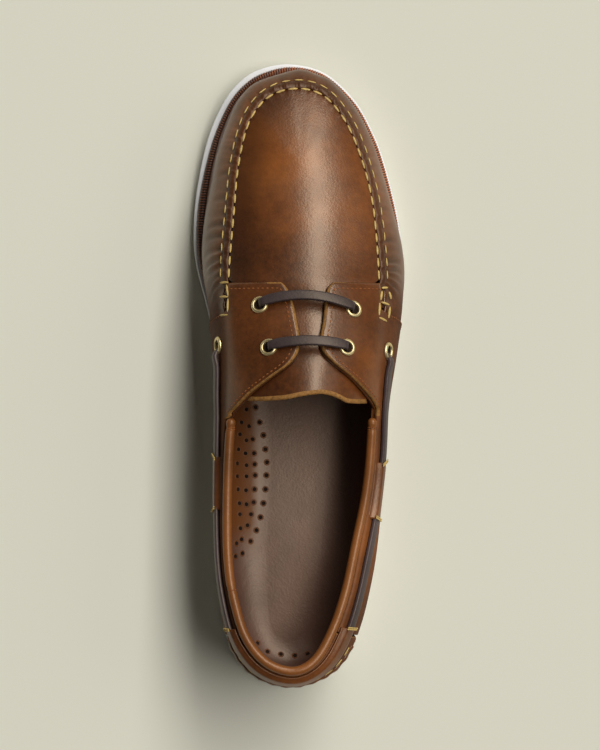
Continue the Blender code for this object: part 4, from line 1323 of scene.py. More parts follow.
def crease_height(point, lines):
    """Depth of the listed creases at a point: a trough with a soft ridge on each side."""
    total = 0.0
    for start, run, length, width, depth in lines:
        ahead = (point - start).dot(run)
        if not -3 * width < ahead < length + 3 * width:
            continue
        distance = (point - start - run * ahead).length
        if distance > 5 * width:
            continue
        taper = ease(ahead, -2 * width, 0.2 * length) * (1 - ease(ahead, 0.45 * length, length + 2 * width))
        total += depth * taper * (0.55 * bump(distance - 2.0 * width, width) - bump(distance, width))
    return total


def vamp_creases():
    """Creases as lines in space: start, direction, length, width, depth."""
    lines = []
    for side, along_a, v_a, along_b, v_b, width, depth in CREASES:
        start, end = surface(at(side, along_a), v_a), surface(at(side, along_b), v_b)
        lines.append((start, (end - start).normalized(), (end - start).length, width * MM, depth * MM))
    return lines


def make_vamp():
    """Outer leather from the welt up to the hand-sewn seam, and the shell under the quarters."""
    chosen = settings()
    lines = vamp_creases()
    shape = bmesh.new()
    us = spread(at(1, 0.10), 4 + at(-1, 0.10), VAMP_STEP)
    rows = 46
    seam = along_path([(u, SEAM_V) for u in us], 0.0)
    lengths = [step[0] for step in seam]
    column = [SEAM_V * (j / rows) ** 0.9 for j in range(rows + 1)]

    def gather(u, v, i):
        """Pleats that hang from the seam, and the swell between them."""
        point = surface(u, v)
        below = (1 - v / SEAM_V) * (VAMP_GIRTH_SIDE if section(u).straight else VAMP_GIRTH_TOE)
        fade = math.exp(-below / PLEAT_REACH) * ease(below, 0.0, 0.8 * MM)
        phase = lengths[i] / chosen.stitch_pitch + 0.35 * ripple(point, 60, 2.0)
        pleat = math.cos(math.tau * phase) + 0.5 * math.cos(math.tau * 2.3 * phase + 1.1)
        return fade * pleat, below

    def swell(u, v):
        """Rise of the vamp up to the cut edge of the quarter that lies on it."""
        here = section(u)
        if not here.straight or here.along > MEETING_FRONT:
            return 0.0
        ahead = here.along - quarter_front(v)
        return MEETING_RISE * ease(ahead, -0.012, 0.004) * (1 - ease(ahead, 0.0, MEETING_RUN))

    def height(u, v, i, j):
        point = surface(u, v)
        pleat, below = gather(u, v, i)
        rounded = FEATHER_ROUND * (ease(v, 0.0, 0.12) - 1)
        return (chosen.pleat_depth * pleat + crease_height(point, lines) + rounded + swell(u, v)
                + VAMP_RIPPLE * ripple(point, 120) + VAMP_WAVE * ripple(point, 35, 5.0))

    # Painted shade: darker in the troughs of the pleats and creases, just under the seam, and low on the wall
    # by the welt.
    def tone(u, v, i, j):
        pleat, below = gather(u, v, i)
        crease = crease_height(surface(u, v), lines) / MM
        return min(1.0, max(0.0, -0.30 * pleat) + max(0.0, -1.3 * crease)
                   + 0.5 * bump(below, 1.2 * MM) + 0.35 * (1 - ease(v, 0.0, 0.06)))

    def dull(u, v):
        here = section(u)
        if not here.straight or here.along > MEETING_FRONT:
            return 0.0
        return 0.5 * (1 - ease(here.along - quarter_front(v), 0.0, 0.16)) * (1 - ease(v, 0.80, 0.95))

    lay(shape, us, lambda u: column, height, tone, dull=dull)
    rear = spread(at(-1, 0.11), at(1, 0.11), SHELL_STEP)

    def rear_column(u):
        top = throat_v(u)
        return [k / 14 for k in range(15)] + [1 + (top - 1) * k / 8 for k in range(1, 9)]

    # The shell's tone is painted shade, darker low on the wall by the welt.
    lay(shape, rear, rear_column, lambda u, v, i, j: 0.0, lambda u, v, i, j: 0.5 * (1 - ease(v, 0.0, 0.08)))
    piece("vamp_and_shell", shape, ("brown leather",), ("upper",), WALL - 0.2 * MM)


def make_plug():
    """Top leather inside the hand-sewn seam, which runs on under the saddles as the tongue."""
    shape = bmesh.new()
    us = spread(at(1, -0.07), 4 + at(-1, -0.07), PLUG_STEP)
    rows = 34
    seam = along_path([(u, 1.0) for u in us], 0.0)
    rim_v = {u: lower(u, SEAM_V, -SEAM_HALF + 0.9 * MM) for u in us}

    def column(u):
        here = section(u)
        low = rim_v[u]
        if here.straight and here.along < TONGUE_SIDE[0][0]:
            low = max(low, tongue_side(here.along))
        return [low + (2 - low) * j / rows for j in range(rows + 1)]

    def warped(u, v):
        """The rear rows follow the tongue's cut end."""
        here = section(u)
        if not here.straight or here.along > 0.06:
            return u, v
        distance = here.profile(v)[0]
        side = 1 if here.direction.x > 0 else -1
        across = crown_across(here.along) + side * distance / HALF_WIDTH
        share = ease(-here.along, -0.06, 0.07)
        along = here.along + (tongue_end(across) + 0.07) * share
        return over(along, across)

    def depth(u):
        here = section(u)
        return tongue_depth(here.along) * TONGUE_DEPTH if here.straight else 0.0

    def height(u, v, i, j):
        point = surface(u, v)
        here = section(u)
        from_edge = j / rows * here.edge
        toe = 1.0 if not here.straight else ease(here.along, 0.35, TOE_CENTRE)
        phase = seam[i][0] / settings().stitch_pitch
        fade = math.exp(-from_edge / GATHER_REACH) * (1 - ease(j / rows, 0.2, 0.4))
        gathers = toe * GATHER_DEPTH * fade * (
            math.cos(math.tau * (phase + 0.3 * ripple(point, 50, 7.0)))
            + 0.7 * math.cos(math.tau * (2.7 * phase + ripple(point, 70, 9.0))))
        tucked = -RIM_TUCK * math.exp(-from_edge / RIM_TUCK_REACH) if here.along > SADDLE_FRONT else 0.0
        return (-depth(u) + gathers + tucked + PLUG_WAVE * ripple(point, 45, 11.0)
                + PLUG_RIPPLE * ripple(point, 140, 12.0))

    # Painted shade: darker on the inner side, which is turned from the light, and along the rim beside the
    # seam.
    def tone(u, v, i, j):
        here = section(u)
        inner = ease(-here.direction.x, -0.3, 0.6) * ease(1 - j / rows, 0.25, 0.75)
        if here.along < SADDLE_FRONT and here.straight:
            return 0.35 * inner
        return min(1.0, 0.55 * math.exp(-(j / rows) * 20) + 0.60 * inner)

    columns = [column(u) for u in us]
    tones = shape.verts.layers.float.new("tone")
    places = {}
    from_rim = {}
    last = len(us) - 1
    for vertex, i, j in add_grid(shape, last, rows):
        u, v = us[i], columns[i][j]
        places[vertex] = i
        from_rim[vertex] = j
        vertex[tones] = tone(u, v, i, j)
        vertex.co = surface(*warped(u, v), height(u, v, i, j))
    for face in shape.faces:
        ends = [places[vertex] for vertex in face.verts]
        if max(ends) <= 2 or min(ends) >= last - 2:
            face.material_index = 1
    merge(shape)
    toe = [vertex for vertex in shape.verts
           if vertex.co.y > 0.30 * HALF_LENGTH and not vertex.is_boundary and from_rim[vertex] > 4]
    for _ in range(TOE_FAIRING):
        bmesh.ops.smooth_vert(shape, verts=toe, factor=0.5, use_axis_x=True, use_axis_y=True, use_axis_z=True)
    piece("plug_and_tongue", shape, ("brown leather", "raw edge"), ("tongue",), PLUG_SHEET)


def make_seam():
    """Raised hand-sewn seam with both its rows of stitches; the box stitches at its ends are sewn with the
    quarters.
    """
    chosen = settings()
    us = spread(at(1, SEAM_BACK + SEAM_TRIM), 4 + at(-1, SEAM_BACK + SEAM_TRIM), SEAM_STEP)
    path = along_path([(u, SEAM_V) for u in us], 0.0)
    shape = bmesh.new()
    frames = [(point, upward, normal) for point, normal, upward in (frame_at(u, SEAM_V) for u in us)]

    def outline(i):
        point = frames[i][0]
        phase = path[i][0] / chosen.stitch_pitch
        pinch = 0.5 + 0.5 * math.cos(math.tau * phase)
        crumple = ripple(point, 330, 1.0) + 0.8 * ripple(point, 700, 2.0)
        high = SEAM_HEIGHT * (1.0 - 0.25 * pinch + 0.34 * crumple)
        half = SEAM_HALF * (1.0 - 0.10 * pinch)
        if section(us[i]).along < SADDLE_FRONT:
            high *= 0.5
        sway = SEAM_SWAY * ripple(point, 190, 4.0)
        shares = ((-1.0, -0.25), (-0.93, 0.25), (-0.72, 0.66), (-0.40, 0.95), (0.0, 1.0 + 0.10 * crumple),
                  (0.38, 0.92), (0.66, 0.70), (0.86, 0.32), (0.95, -0.25))
        return [(sway + half * across, high * up) for across, up in shares]

    sweep(shape, frames, outline)
    piece("moc_ridge", shape, ("seam leather",), ("moc_seam",))

    shape = bmesh.new()
    sewn = [u for u in us[::5] if section(u).along > SADDLE_FRONT + SEAM_TRIM]
    outer = [(u, lower(u, SEAM_V, SEAM_HALF * 0.95)) for u in sewn]
    inner = [(u, lower(u, SEAM_V, -SEAM_HALF - INNER_STITCH_OUT)) for u in sewn]
    sew(shape, outer, OUTER_STITCH_LIFT, chosen.stitch_pitch, 0.9 * chosen.stitch_length,
        0.62 * chosen.thread, OUTER_STITCH_SWAY)
    sew(shape, inner, INNER_STITCH_LIFT, chosen.stitch_pitch, chosen.stitch_length, chosen.thread,
        INNER_STITCH_SWAY)
    piece("moc_stitches", shape, ("hand thread",), ())


def edge_rows(u, low, high, count, rims):
    """v's up a column, with rim rows at set distances from both its ends."""
    bottom = [lower(u, low, -rim) for rim in rims]
    top = [lower(u, high, rim) for rim in reversed(rims)]
    first, last = bottom[-1], top[0]
    if last <= first:
        first = last = (low + high) / 2
        bottom = [low + (first - low) * k / (len(rims) - 1) for k in range(len(rims))]
        top = [first + (high - first) * k / (len(rims) - 1) for k in range(len(rims))]
    between = [first + (last - first) * k / count for k in range(1, count)]
    return bottom + between + top


def overlay(name, us, low, high, replaces, front_rim=(), back_rim=()):
    """A leather overlay with drooping edges; the rims list the columns beside its ends, outermost first."""
    shape = bmesh.new()
    count = 26
    rims = len(RIMS)
    total = 2 * rims + count - 1

    def height(u, v, i, j):
        near_low = RIM_HEIGHTS[min(j, rims - 1)]
        near_high = RIM_HEIGHTS[min(total - 1 - j, rims - 1)]
        near_end = min([RIM_HEIGHTS[rim.index(i)] for rim in (front_rim, back_rim) if i in rim],
                       default=OVERLAY_TOP)
        return min(near_low, near_high, near_end) + 0.10 * MM * ripple(surface(u, v), 60, 21.0)

    def finish(i, j):
        along = section(us[i]).along
        raw = ((j < 3 and along > RAW_LOW_BACK) or (j >= total - 4 and along > COLLAR_FRONT)
               or (i in front_rim[:-2] and j > 0.7 * total) or i in back_rim[:-2])
        return 1 if raw else 0

    lay(shape, us, lambda u: edge_rows(u, low(u), high(u), count, RIMS), height, finish=finish,
        dull=lambda u, v: 0.5 * (1 - ease(v, 0.90, 1.12)))
    piece(name, shape, ("brown leather", "raw edge"), replaces, thickness=SHEET)


def quarter_span(side):
    """u values of a quarter from the saddle's front edge to the counter, with the front rim's columns."""
    shares = [SADDLE_FRONT - rim / HALF_LENGTH for rim in RIMS]
    back = 2.0 + COUNTER_INSET if side < 0 else 3.0 - COUNTER_INSET
    first = at(side, shares[-1])
    body = spread(first, back, OVERLAY_STEP)[1:]
    us = [at(side, share) for share in shares] + body
    rim = tuple(range(len(RIMS)))
    if side > 0:
        us = us[::-1]
        rim = tuple(len(us) - 1 - k for k in rim)
    return us, rim


def quarter_low(u):
    """v of the lower edge of the quarters and the counter."""
    here = section(u)
    return quarter_edge(here.along) if here.straight else quarter_edge(HEEL_CENTRE)


def make_quarters():
    """Saddles and quarters with their raw edges and rows of fine stitches."""
    chosen = settings()
    thread = bmesh.new()
    for side, name in ((-1, "quarter_medial"), (1, "quarter_lateral")):
        us, rim = quarter_span(side)
        overlay(name + "_leather", us, quarter_low, lambda u: throat_v(u) if section(u).straight else 1.0,
                (name,), rim)
        front = at(side, SADDLE_FRONT - EYESTAY_INSET / HALF_LENGTH)
        corner = lower(front, throat_v(front), EYESTAY_INSET)
        row = [(front, 1.02 + (corner - 1.02) * k / 12) for k in range(13)]
        edge = spread(front, at(side, COLLAR_FRONT + 0.02), 2.0 * MM)
        row += [(u, lower(u, throat_v(u), EYESTAY_INSET)) for u in edge[1:]]
        sew(thread, row, OVERLAY_TOP + 0.04 * MM, chosen.fine_pitch, FINE_SHARE * chosen.fine_pitch,
            EYESTAY_THREAD)
        lower_row = spread(at(side, 0.185), at(side, QUARTER_THREAD_BACK), 1.0 * MM)
        for gap in QUARTER_ROWS:
            sew(thread, [(u, lower(u, quarter_low(u), -gap)) for u in lower_row], OVERLAY_TOP + 0.02 * MM,
                chosen.fine_pitch, FINE_SHARE * chosen.fine_pitch, QUARTER_THREAD)
    piece("fine_stitches", thread, ("brown thread",), ())

    thread = bmesh.new()
    shape = bmesh.new()
    for side in (-1, 1):
        us = spread(at(side, 0.34), at(side, 0.12), 2.0 * MM)
        if side > 0:
            us = us[::-1]
        lay(shape, us, lambda u: [0.2 + 1.2 * k / 40 for k in range(41)], lambda u, v, i, j: OVERLAY_TOP)
    tree = BVHTree.FromBMesh(shape)
    shape.free()
    for x0, y0, x1, y1 in BOX_STITCHES:
        start, normal = under_pixel(tree, x0, y0)
        end, _ = under_pixel(tree, x1, y1)
        add_stitch(thread, start, end, normal, chosen.thread)
    piece("box_stitches", thread, ("hand thread",), ())


def heel_share(u):
    """Place along the shoe of the collar at u."""
    here = section(u)
    return here.share_at(here.edge)


def make_heel():
    """Counter, the band that hides the lace round the heel, and the stitched kicker ridge."""
    chosen = settings()
    us = spread(2 + COUNTER_INSET + COUNTER_TRIM, 3 - COUNTER_INSET - COUNTER_TRIM, OVERLAY_STEP)
    rims = len(RIMS)
    shares = [rim / (math.pi * section(2.5).girth) for rim in RIMS]
    us = ([us[0] + share for share in shares]
          + [u for u in us if us[0] + shares[-1] < u < us[-1] - shares[-1]]
          + [us[-1] - share for share in reversed(shares)])
    rim = tuple(range(rims))
    overlay("heel_counter_leather", us, quarter_low, lambda u: 1.0, ("heel_counter",), rim,
            tuple(len(us) - 1 - k for k in rim))
    thread = bmesh.new()
    for start, step in ((us[0], 1), (us[-1], -1)):
        for gap in COUNTER_ROWS:
            u = start + step * gap / (math.pi * section(2.5).girth)
            sew(thread, [(u, 0.12 + 0.42 * k / 12) for k in range(13)], OVERLAY_TOP, chosen.fine_pitch,
                FINE_SHARE * chosen.fine_pitch, COUNTER_THREAD)
    piece("counter_stitches", thread, ("brown thread",), ())

    shape = bmesh.new()
    us = spread(2 + HEEL_TACK, 3 - HEEL_TACK, BAND_STEP)
    rows = 22

    def column(u):
        low = band_line(heel_share(u))
        return [low + (0.998 - low) * j / rows for j in range(rows + 1)]

    def height(u, v, i, j):
        share = j / rows
        swell = ease(share, -0.04, 0.22) * (1 - 0.75 * ease(share, 0.68, 1.0))
        return OVERLAY_TOP + 0.15 * MM + (LACE_THICKNESS + 0.1 * MM) * swell

    # The band's tone is painted shade along its lower edge, where it meets the counter.
    lay(shape, us, column, height, lambda u, v, i, j: 0.8 * bump(j, 1.2))
    piece("heel_band", shape, ("brown leather",), ("heel_tunnel",), thickness=STRIP_SHEET)

    us = spread(*KICKER_SPAN, KICKER_STEP)
    path = along_path([(u, KICKER_V) for u in us], 0)
    frames = [(point + normal * (OVERLAY_TOP - 0.2 * MM), upward, normal)
              for point, normal, upward in (frame_at(u, KICKER_V) for u in us)]

    def outline(i):
        scallop = 0.5 + 0.5 * math.cos(math.tau * path[i][0] / chosen.stitch_pitch)
        return ring_outline(1.9 * MM - 0.2 * MM * scallop, 1.25 * MM - 0.35 * MM * scallop, 12)

    shape = bmesh.new()
    sweep(shape, frames, outline)
    piece("kicker_ridge", shape, ("brown leather",), ())
    thread = bmesh.new()
    sew(thread, [(u, lower(u, KICKER_V, -KICKER_ROW)) for u in us[::3]], OVERLAY_TOP + 0.2 * MM,
        chosen.stitch_pitch, chosen.stitch_length, 0.8 * chosen.thread, 0.2 * MM)
    piece("kicker_stitches", thread, ("hand thread",), ())


def add_strand(shape, centre, spots, radius):
    """Adds thread through spots round a centre."""
    for before, after in zip(spots, spots[1:]):
        add_stitch(shape, before, after, (after - centre).normalized(), radius)


def make_collar():
    """Padded collar with its cover seam and the wraps at its ends."""
    shape = bmesh.new()
    us = spread(at(-1, COLLAR_FRONT), at(1, COLLAR_FRONT), COLLAR_STEP)
    frames = []
    path = along_path([(u, 1.0) for u in us], 0)
    for u in us:
        point, normal, upward = frame_at(u, 1.0)
        frames.append((point + upward * (CLEARANCE + ROLL_RADIUS), normal, upward))
    total = path[-1][0]
    seam_at = next(k for k, u in enumerate(us) if u > at(-1, COLLAR_SEAM))

    def outline(i):
        point = frames[i][0]
        near_end = min(path[i][0], total - path[i][0])
        pinch = 0.22 * bump(near_end - WRAP_PLACE, 1.0 * MM) + 0.12 * bump(i - seam_at, 1.3)
        closing = 1 - 0.5 * (1 - ease(near_end, 0.0, 1.5 * MM))
        radius = ROLL_RADIUS * (1 - pinch) * closing * (1 + 0.03 * ripple(point, 70, 31.0))
        return ring_outline(radius, radius, COLLAR_SIDES)

    sweep(shape, frames, outline)
    roll = piece("collar_padding", shape, ("collar leather",), ("collar_roll",))
    shape = bmesh.new()
    for end in (WRAP_PLACE, total - WRAP_PLACE):
        middle, normal = on_path(path, end)
        ahead, _ = on_path(path, end + 1 * MM)
        run = (ahead - middle).normalized()
        up = run.cross(normal).normalized()
        if up.z < 0:
            up.negate()
        centre = middle + up * (CLEARANCE + ROLL_RADIUS)
        for sway in (-0.5 * MM, 0.5 * MM):
            turns = [math.pi * k / 8 for k in range(9)]
            add_strand(shape, centre, [
                centre + run * (sway + 0.3 * MM * math.cos(turn)) + normal * WRAP_RADIUS * math.cos(turn)
                + up * WRAP_RADIUS * math.sin(turn) for turn in turns], WRAP_THREAD)
    centre, normal, up = frames[seam_at]
    turns = [math.pi * (k / 12 * 1.3 - 0.15) for k in range(13)]
    add_strand(shape, centre, [centre + (normal * math.cos(turn) + up * math.sin(turn)) * 0.93 * ROLL_RADIUS
                               for turn in turns], COVER_THREAD)
    piece("collar_wraps", shape, ("brown thread",), ())


def lace_frames(us, lift_of):
    """Cross sections' places along the side lace."""
    frames = []
    for k, u in enumerate(us):
        point, normal, upward = frame_at(u, lace_v(u))
        frames.append((point + normal * lift_of(k), upward, normal))
    return frames


def make_laces():
    """Leather lace along both quarters and round the heel, and the two bars over the throat."""
    shape = bmesh.new()
    us = spread(at(-1, SIDE_EYELET_MEDIAL), at(1, SIDE_EYELET_LATERAL), LACE_STEP)

    def lift_of(k):
        near_end = min(k, len(us) - 1 - k) * LACE_STEP
        dive = LACE_DIVE * (1 - ease(near_end, 0.0, LACE_BEND))
        return OVERLAY_TOP + CLEARANCE - dive + LACE_HUMP * bump(near_end - 5 * MM, 3 * MM)

    def outline(k):
        near_end = min(k, len(us) - 1 - k) * LACE_STEP
        narrow = 0.62 + 0.38 * ease(near_end, 1 * MM, 9 * MM)
        sway = 0.25 * MM * ripple(Vector((k * LACE_STEP, 0, 0)), 40, 41.0)
        hidden = (ease(us[k], 2 + HEEL_TACK, 2.03 + HEEL_TACK)
                  * (1 - ease(us[k], 2.97 - HEEL_TACK, 3 - HEEL_TACK)))
        return [(sway + narrow * x, y * (1 - 0.55 * hidden)) for x, y in lace_outline()]

    sweep(shape, lace_frames(us, lift_of), outline)
    piece("side_lace", shape, ("lace leather",), ("lace_heel",))

    places = {name: (along, across) for name, along, across in EYELETS_ON_TOP}
    for row, bow in (("front", FRONT_BAR_BOW), ("rear", REAR_BAR_BOW)):
        shape = bmesh.new()
        first, last = places["eyelet_" + row + "_medial"], places["eyelet_" + row + "_lateral"]
        spots = []
        for k in range(BAR_STEPS + 1):
            share = BAR_OVERRUN * (2 * k / BAR_STEPS - 1) + k / BAR_STEPS
            along = first[0] + (last[0] - first[0]) * share
            along += 4 * share * (1 - share) * bow / HALF_LENGTH
            across = first[1] + (last[1] - first[1]) * share
            spots.append(frame_at(*over(along, across))[:2])
        top = OVERLAY_TOP + EYELET_HEIGHT + 0.9 * MM
        frames = []
        for k, (point, normal) in enumerate(spots):
            run = spots[min(k + 1, BAR_STEPS)][0] - spots[max(k - 1, 0)][0]
            dive = ease(min(k, BAR_STEPS - k), 0, 2.4)
            turned = normal.cross(run).normalized()
            frames.append((point + normal * (top * dive - BAR_DIVE * (1 - dive)), turned, normal))

        def bar_outline(k):
            narrow = 0.74 + 0.26 * ease(min(k, BAR_STEPS - k), 0, 7)
            return [(narrow * x, y) for x, y in lace_outline()]

        sweep(shape, frames, bar_outline)
        piece("lace_" + row, shape, ("lace leather",), ("lace_bar_" + row,))


def make_tunnels():
    """Strips over the lace on both quarters, with the bar tacks that hold its windows."""
    thread = bmesh.new()
    for side, name, ends in ((-1, "lace_tunnel_medial", TUNNEL_MEDIAL),
                             (1, "lace_tunnel_lateral", TUNNEL_LATERAL)):
        shape = bmesh.new()
        us = spread(at(side, ends[0]), at(side, ends[1]), TUNNEL_STEP)
        if side > 0:
            us = us[::-1]
        rows = 20

        def column(u):
            return [lace_v(u) - TUNNEL_REACH + 2 * TUNNEL_REACH * j / rows for j in range(rows + 1)]

        def height(u, v, i, j):
            share = abs(j / rows - 0.5) * 2
            arch_over = 1 - ease(share, 0.30, 0.95)
            near_end = ease(min(i, len(us) - 1 - i), 0, 3)
            return OVERLAY_TOP - 0.45 * MM + (LACE_THICKNESS + 0.7 * MM) * arch_over + 0.3 * MM * near_end

        lay(shape, us, column, height)
        piece(name + "_strip", shape, ("brown leather",), (name,), thickness=STRIP_SHEET)
        heel_tack = 2 + HEEL_TACK if side < 0 else 3 - HEEL_TACK
        for u, lean in ((at(side, ends[0]), -0.010), (at(side, ends[1]), 0.010), (heel_tack, 0.0)):
            middle = lace_v(u)
            path = along_path(tacked(u, middle, side * lean), OVERLAY_TOP + LACE_THICKNESS + 0.8 * MM)
            onward = (surface(u + 0.005, middle) - surface(u, middle)).normalized()
            for sway in (-TACK_SWAY, TACK_SWAY):
                for before, after in zip(path, path[1:]):
                    add_stitch(thread, before[1] + onward * sway, after[1] + onward * sway, after[2],
                               TACK_THREAD)
    piece("bar_tacks", thread, ("hand thread",), ())


def make_eyelets():
    """Rolled brass eyelets."""
    places = [(name, *over(along, across)) for name, along, across in EYELETS_ON_TOP]
    for name, u in (("eyelet_side_medial", at(-1, SIDE_EYELET_MEDIAL)),
                    ("eyelet_side_lateral", at(1, SIDE_EYELET_LATERAL))):
        places.append((name, u, lace_v(u)))
    for name, u, v in places:
        point, normal, upward = frame_at(u, v)
        aside = normal.cross(upward).normalized()
        shape = bmesh.new()
        corners = [shape.verts.new((share * EYELET_RADIUS, 0, rise * EYELET_HEIGHT))
                   for share, rise in EYELET_SECTION]
        edges = [shape.edges.new(pair) for pair in zip(corners, corners[1:])]
        bmesh.ops.spin(shape, geom=corners + edges, cent=(0, 0, 0), axis=(0, 0, 1), dvec=(0, 0, 0),
                       angle=math.tau, steps=40, use_merge=True)
        bmesh.ops.remove_doubles(shape, verts=shape.verts, dist=0.002 * MM)
        face_outward(shape)
        before = len(shape.faces)
        # A dark disc of painted shadow fills the eyelet's hole.
        bmesh.ops.create_circle(shape, cap_ends=True, segments=32, radius=0.62 * EYELET_RADIUS,
                                matrix=Matrix.Translation((0, 0, 0.12 * MM)))
        shape.faces.ensure_lookup_table()
        for face in shape.faces[before:]:
            face.material_index = 1
        turn = Matrix((aside, upward, normal)).transposed().to_4x4()
        base = point + normal * (OVERLAY_TOP + 0.1 * MM)
        bmesh.ops.transform(shape, matrix=Matrix.Translation(base) @ turn, verts=shape.verts)
        piece(name + "_ring", shape, ("brass", "eyelet shadow"), (name,))


def make_stage():
    """Plain pale floor, soft studio light and the photograph's camera."""
    shape = bmesh.new()
    bmesh.ops.create_grid(shape, x_segments=1, y_segments=1, size=FLOOR_HALF)
    mesh = bpy.data.meshes.new("floor")
    shape.to_mesh(mesh)
    shape.free()
    mesh.materials.append(bpy.data.materials["floor paper"])
    floor = bpy.data.objects.new("floor", mesh)
    bpy.context.collection.objects.link(floor)

    for name, place, width, length, power in LAMPS:
        lamp = bpy.data.lights.new(name, "AREA")
        lamp.shape = "RECTANGLE"
        lamp.size = width
        lamp.size_y = length
        lamp.energy = power
        holder = bpy.data.objects.new(name, lamp)
        holder.location = place
        back = Vector(place).normalized()
        aside = Vector((0, 1, 0)).cross(back).normalized()
        holder.rotation_mode = "QUATERNION"
        holder.rotation_quaternion = Matrix((aside, back.cross(aside), back)).transposed().to_quaternion()
        bpy.context.collection.objects.link(holder)

    world = bpy.data.worlds.new("studio")
    world.use_nodes = True
    background = world.node_tree.nodes["Background"]
    background.inputs["Color"].default_value = SKY_COLOUR
    background.inputs["Strength"].default_value = SKY_STRENGTH
    bpy.context.scene.world = world
    bpy.context.scene.view_settings.view_transform = "Standard"

    low, high = (Vector(corner) for corner in CAD_BOX)
    lens = bpy.data.cameras.new("camera")
    lens.sensor_width = SENSOR
    lens.lens = PIXELS_PER_SLOPE * SENSOR / FRAME_HEIGHT
    camera = bpy.data.objects.new("camera", lens)
    camera.location = CAMERA_PLACE + SHIFT
    target = Vector(((low.x + high.x) / 2, (low.y + high.y) / 2, LOOKED_AT_HEIGHT))
    forward = (target - camera.location).normalized()
    right = forward.cross(Vector((0, 1, 0))).normalized()
    camera.rotation_mode = "QUATERNION"
    camera.rotation_quaternion = Matrix((right, right.cross(forward), -forward)).transposed().to_quaternion()
    bpy.context.collection.objects.link(camera)
    bpy.context.scene.camera = camera


def outsole_shift():
    """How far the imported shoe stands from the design's own middle."""
    low, high = (Vector(corner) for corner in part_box("outsole"))
    return Vector(((low.x + high.x) / 2, (low.y + high.y) / 2, 0))


SHIFT = outsole_shift()


# Operators


class BOATSHOE_OT_finishes(bpy.types.Operator):
    """Mixes the leathers, threads, brass, rubber and paper"""

    bl_idname = "boat_shoe.finishes"
    bl_label = "Mix the finishes"

    def execute(self, context):
        make_finishes()
        return {"FINISHED"}


class BOATSHOE_OT_outsole(bpy.types.Operator):
    """Makes the white sole unit with its groove, heel and tread"""

    bl_idname = "boat_shoe.outsole"
    bl_label = "Mould the sole"

    def execute(self, context):
        make_outsole()
        return {"FINISHED"}


class BOATSHOE_OT_welt(bpy.types.Operator):
    """Makes the beaded strip between the sole and the upper"""

    bl_idname = "boat_shoe.welt"
    bl_label = "Lay the beaded welt"

    def execute(self, context):
        make_welt()
        return {"FINISHED"}


class BOATSHOE_OT_inside(bpy.types.Operator):
    """Makes the insole, the lining and the holes punched in them"""

    bl_idname = "boat_shoe.inside"
    bl_label = "Line the inside"

    def execute(self, context):
        make_inside()
        return {"FINISHED"}


class BOATSHOE_OT_vamp(bpy.types.Operator):
    """Makes the outer leather from the welt up to the hand-sewn seam"""

    bl_idname = "boat_shoe.vamp"
    bl_label = "Last the vamp"

    def execute(self, context):
        make_vamp()
        return {"FINISHED"}


class BOATSHOE_OT_plug(bpy.types.Operator):
    """Makes the top leather that runs on as the tongue"""

    bl_idname = "boat_shoe.plug"
    bl_label = "Cut the plug and tongue"

    def execute(self, context):
        make_plug()
        return {"FINISHED"}


class BOATSHOE_OT_seam(bpy.types.Operator):
    """Makes the raised hand-sewn seam and its stitches"""

    bl_idname = "boat_shoe.seam"
    bl_label = "Sew the moc seam"

    def execute(self, context):
        make_seam()
        return {"FINISHED"}


class BOATSHOE_OT_quarters(bpy.types.Operator):
    """Makes the saddles and quarters with their stitches"""

    bl_idname = "boat_shoe.quarters"
    bl_label = "Sew on the quarters"

    def execute(self, context):
        make_quarters()
        return {"FINISHED"}


class BOATSHOE_OT_heel(bpy.types.Operator):
    """Makes the counter, the heel band and the stitched kicker"""

    bl_idname = "boat_shoe.heel"
    bl_label = "Close the heel"

    def execute(self, context):
        make_heel()
        return {"FINISHED"}


class BOATSHOE_OT_collar(bpy.types.Operator):
    """Makes the padded collar and the wraps at its ends"""

    bl_idname = "boat_shoe.collar"
    bl_label = "Pad the collar"

    def execute(self, context):
        make_collar()
        return {"FINISHED"}


class BOATSHOE_OT_laces(bpy.types.Operator):
    """Makes the side lace and the two bars over the throat"""

    bl_idname = "boat_shoe.laces"
    bl_label = "Thread the laces"

    def execute(self, context):
        make_laces()
        return {"FINISHED"}


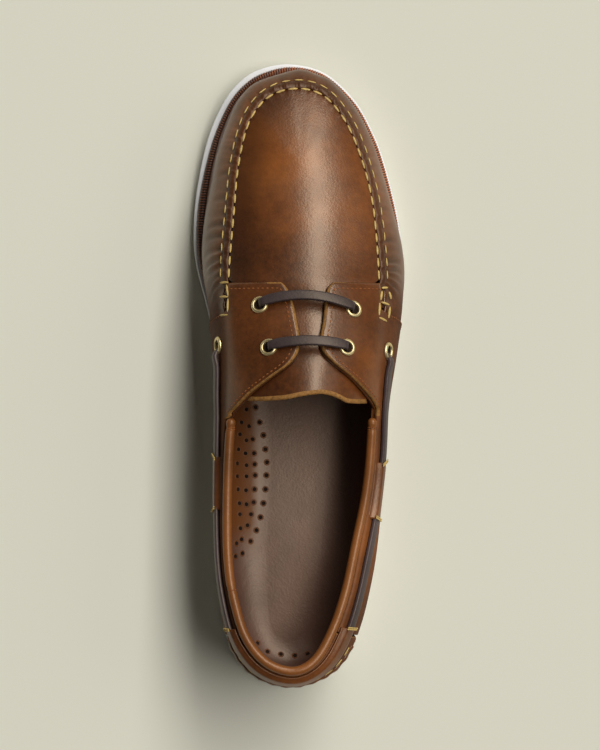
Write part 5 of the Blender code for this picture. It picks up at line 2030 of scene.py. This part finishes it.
class BOATSHOE_OT_tunnels(bpy.types.Operator):
    """Makes the strips over the lace and their bar tacks"""

    bl_idname = "boat_shoe.tunnels"
    bl_label = "Sew the lace tunnels"

    def execute(self, context):
        make_tunnels()
        return {"FINISHED"}


class BOATSHOE_OT_eyelets(bpy.types.Operator):
    """Makes the six rolled brass eyelets"""

    bl_idname = "boat_shoe.eyelets"
    bl_label = "Set the eyelets"

    def execute(self, context):
        make_eyelets()
        return {"FINISHED"}


class BOATSHOE_OT_stage(bpy.types.Operator):
    """Makes the floor, the studio light and the photograph's camera"""

    bl_idname = "boat_shoe.stage"
    bl_label = "Set the stage"

    def execute(self, context):
        make_stage()
        return {"FINISHED"}


OPERATORS = (
    BOATSHOE_OT_finishes,
    BOATSHOE_OT_outsole,
    BOATSHOE_OT_welt,
    BOATSHOE_OT_inside,
    BOATSHOE_OT_vamp,
    BOATSHOE_OT_plug,
    BOATSHOE_OT_seam,
    BOATSHOE_OT_quarters,
    BOATSHOE_OT_heel,
    BOATSHOE_OT_collar,
    BOATSHOE_OT_laces,
    BOATSHOE_OT_tunnels,
    BOATSHOE_OT_eyelets,
    BOATSHOE_OT_stage,
)


class BOATSHOE_PT_panel(bpy.types.Panel):
    """Lists the steps that make the shoe"""

    bl_label = "Boat shoe"
    bl_idname = "BOATSHOE_PT_panel"
    bl_space_type = "VIEW_3D"
    bl_region_type = "UI"
    bl_category = "Boat shoe"

    def draw(self, context):
        for name in BoatShoeSettings.__annotations__:
            self.layout.prop(context.scene.boat_shoe, name)
        for step in OPERATORS:
            self.layout.operator(step.bl_idname)


CLASSES = (BoatShoeSettings, *OPERATORS, BOATSHOE_PT_panel)


def register():
    for made in CLASSES:
        bpy.utils.register_class(made)
    bpy.types.Scene.boat_shoe = PointerProperty(type=BoatShoeSettings)


def unregister():
    del bpy.types.Scene.boat_shoe
    for made in reversed(CLASSES):
        bpy.utils.unregister_class(made)


def main():
    register()
    for step in OPERATORS:
        getattr(bpy.ops.boat_shoe, step.bl_idname.split(".")[1])()


if __name__ == "__main__":
    main()
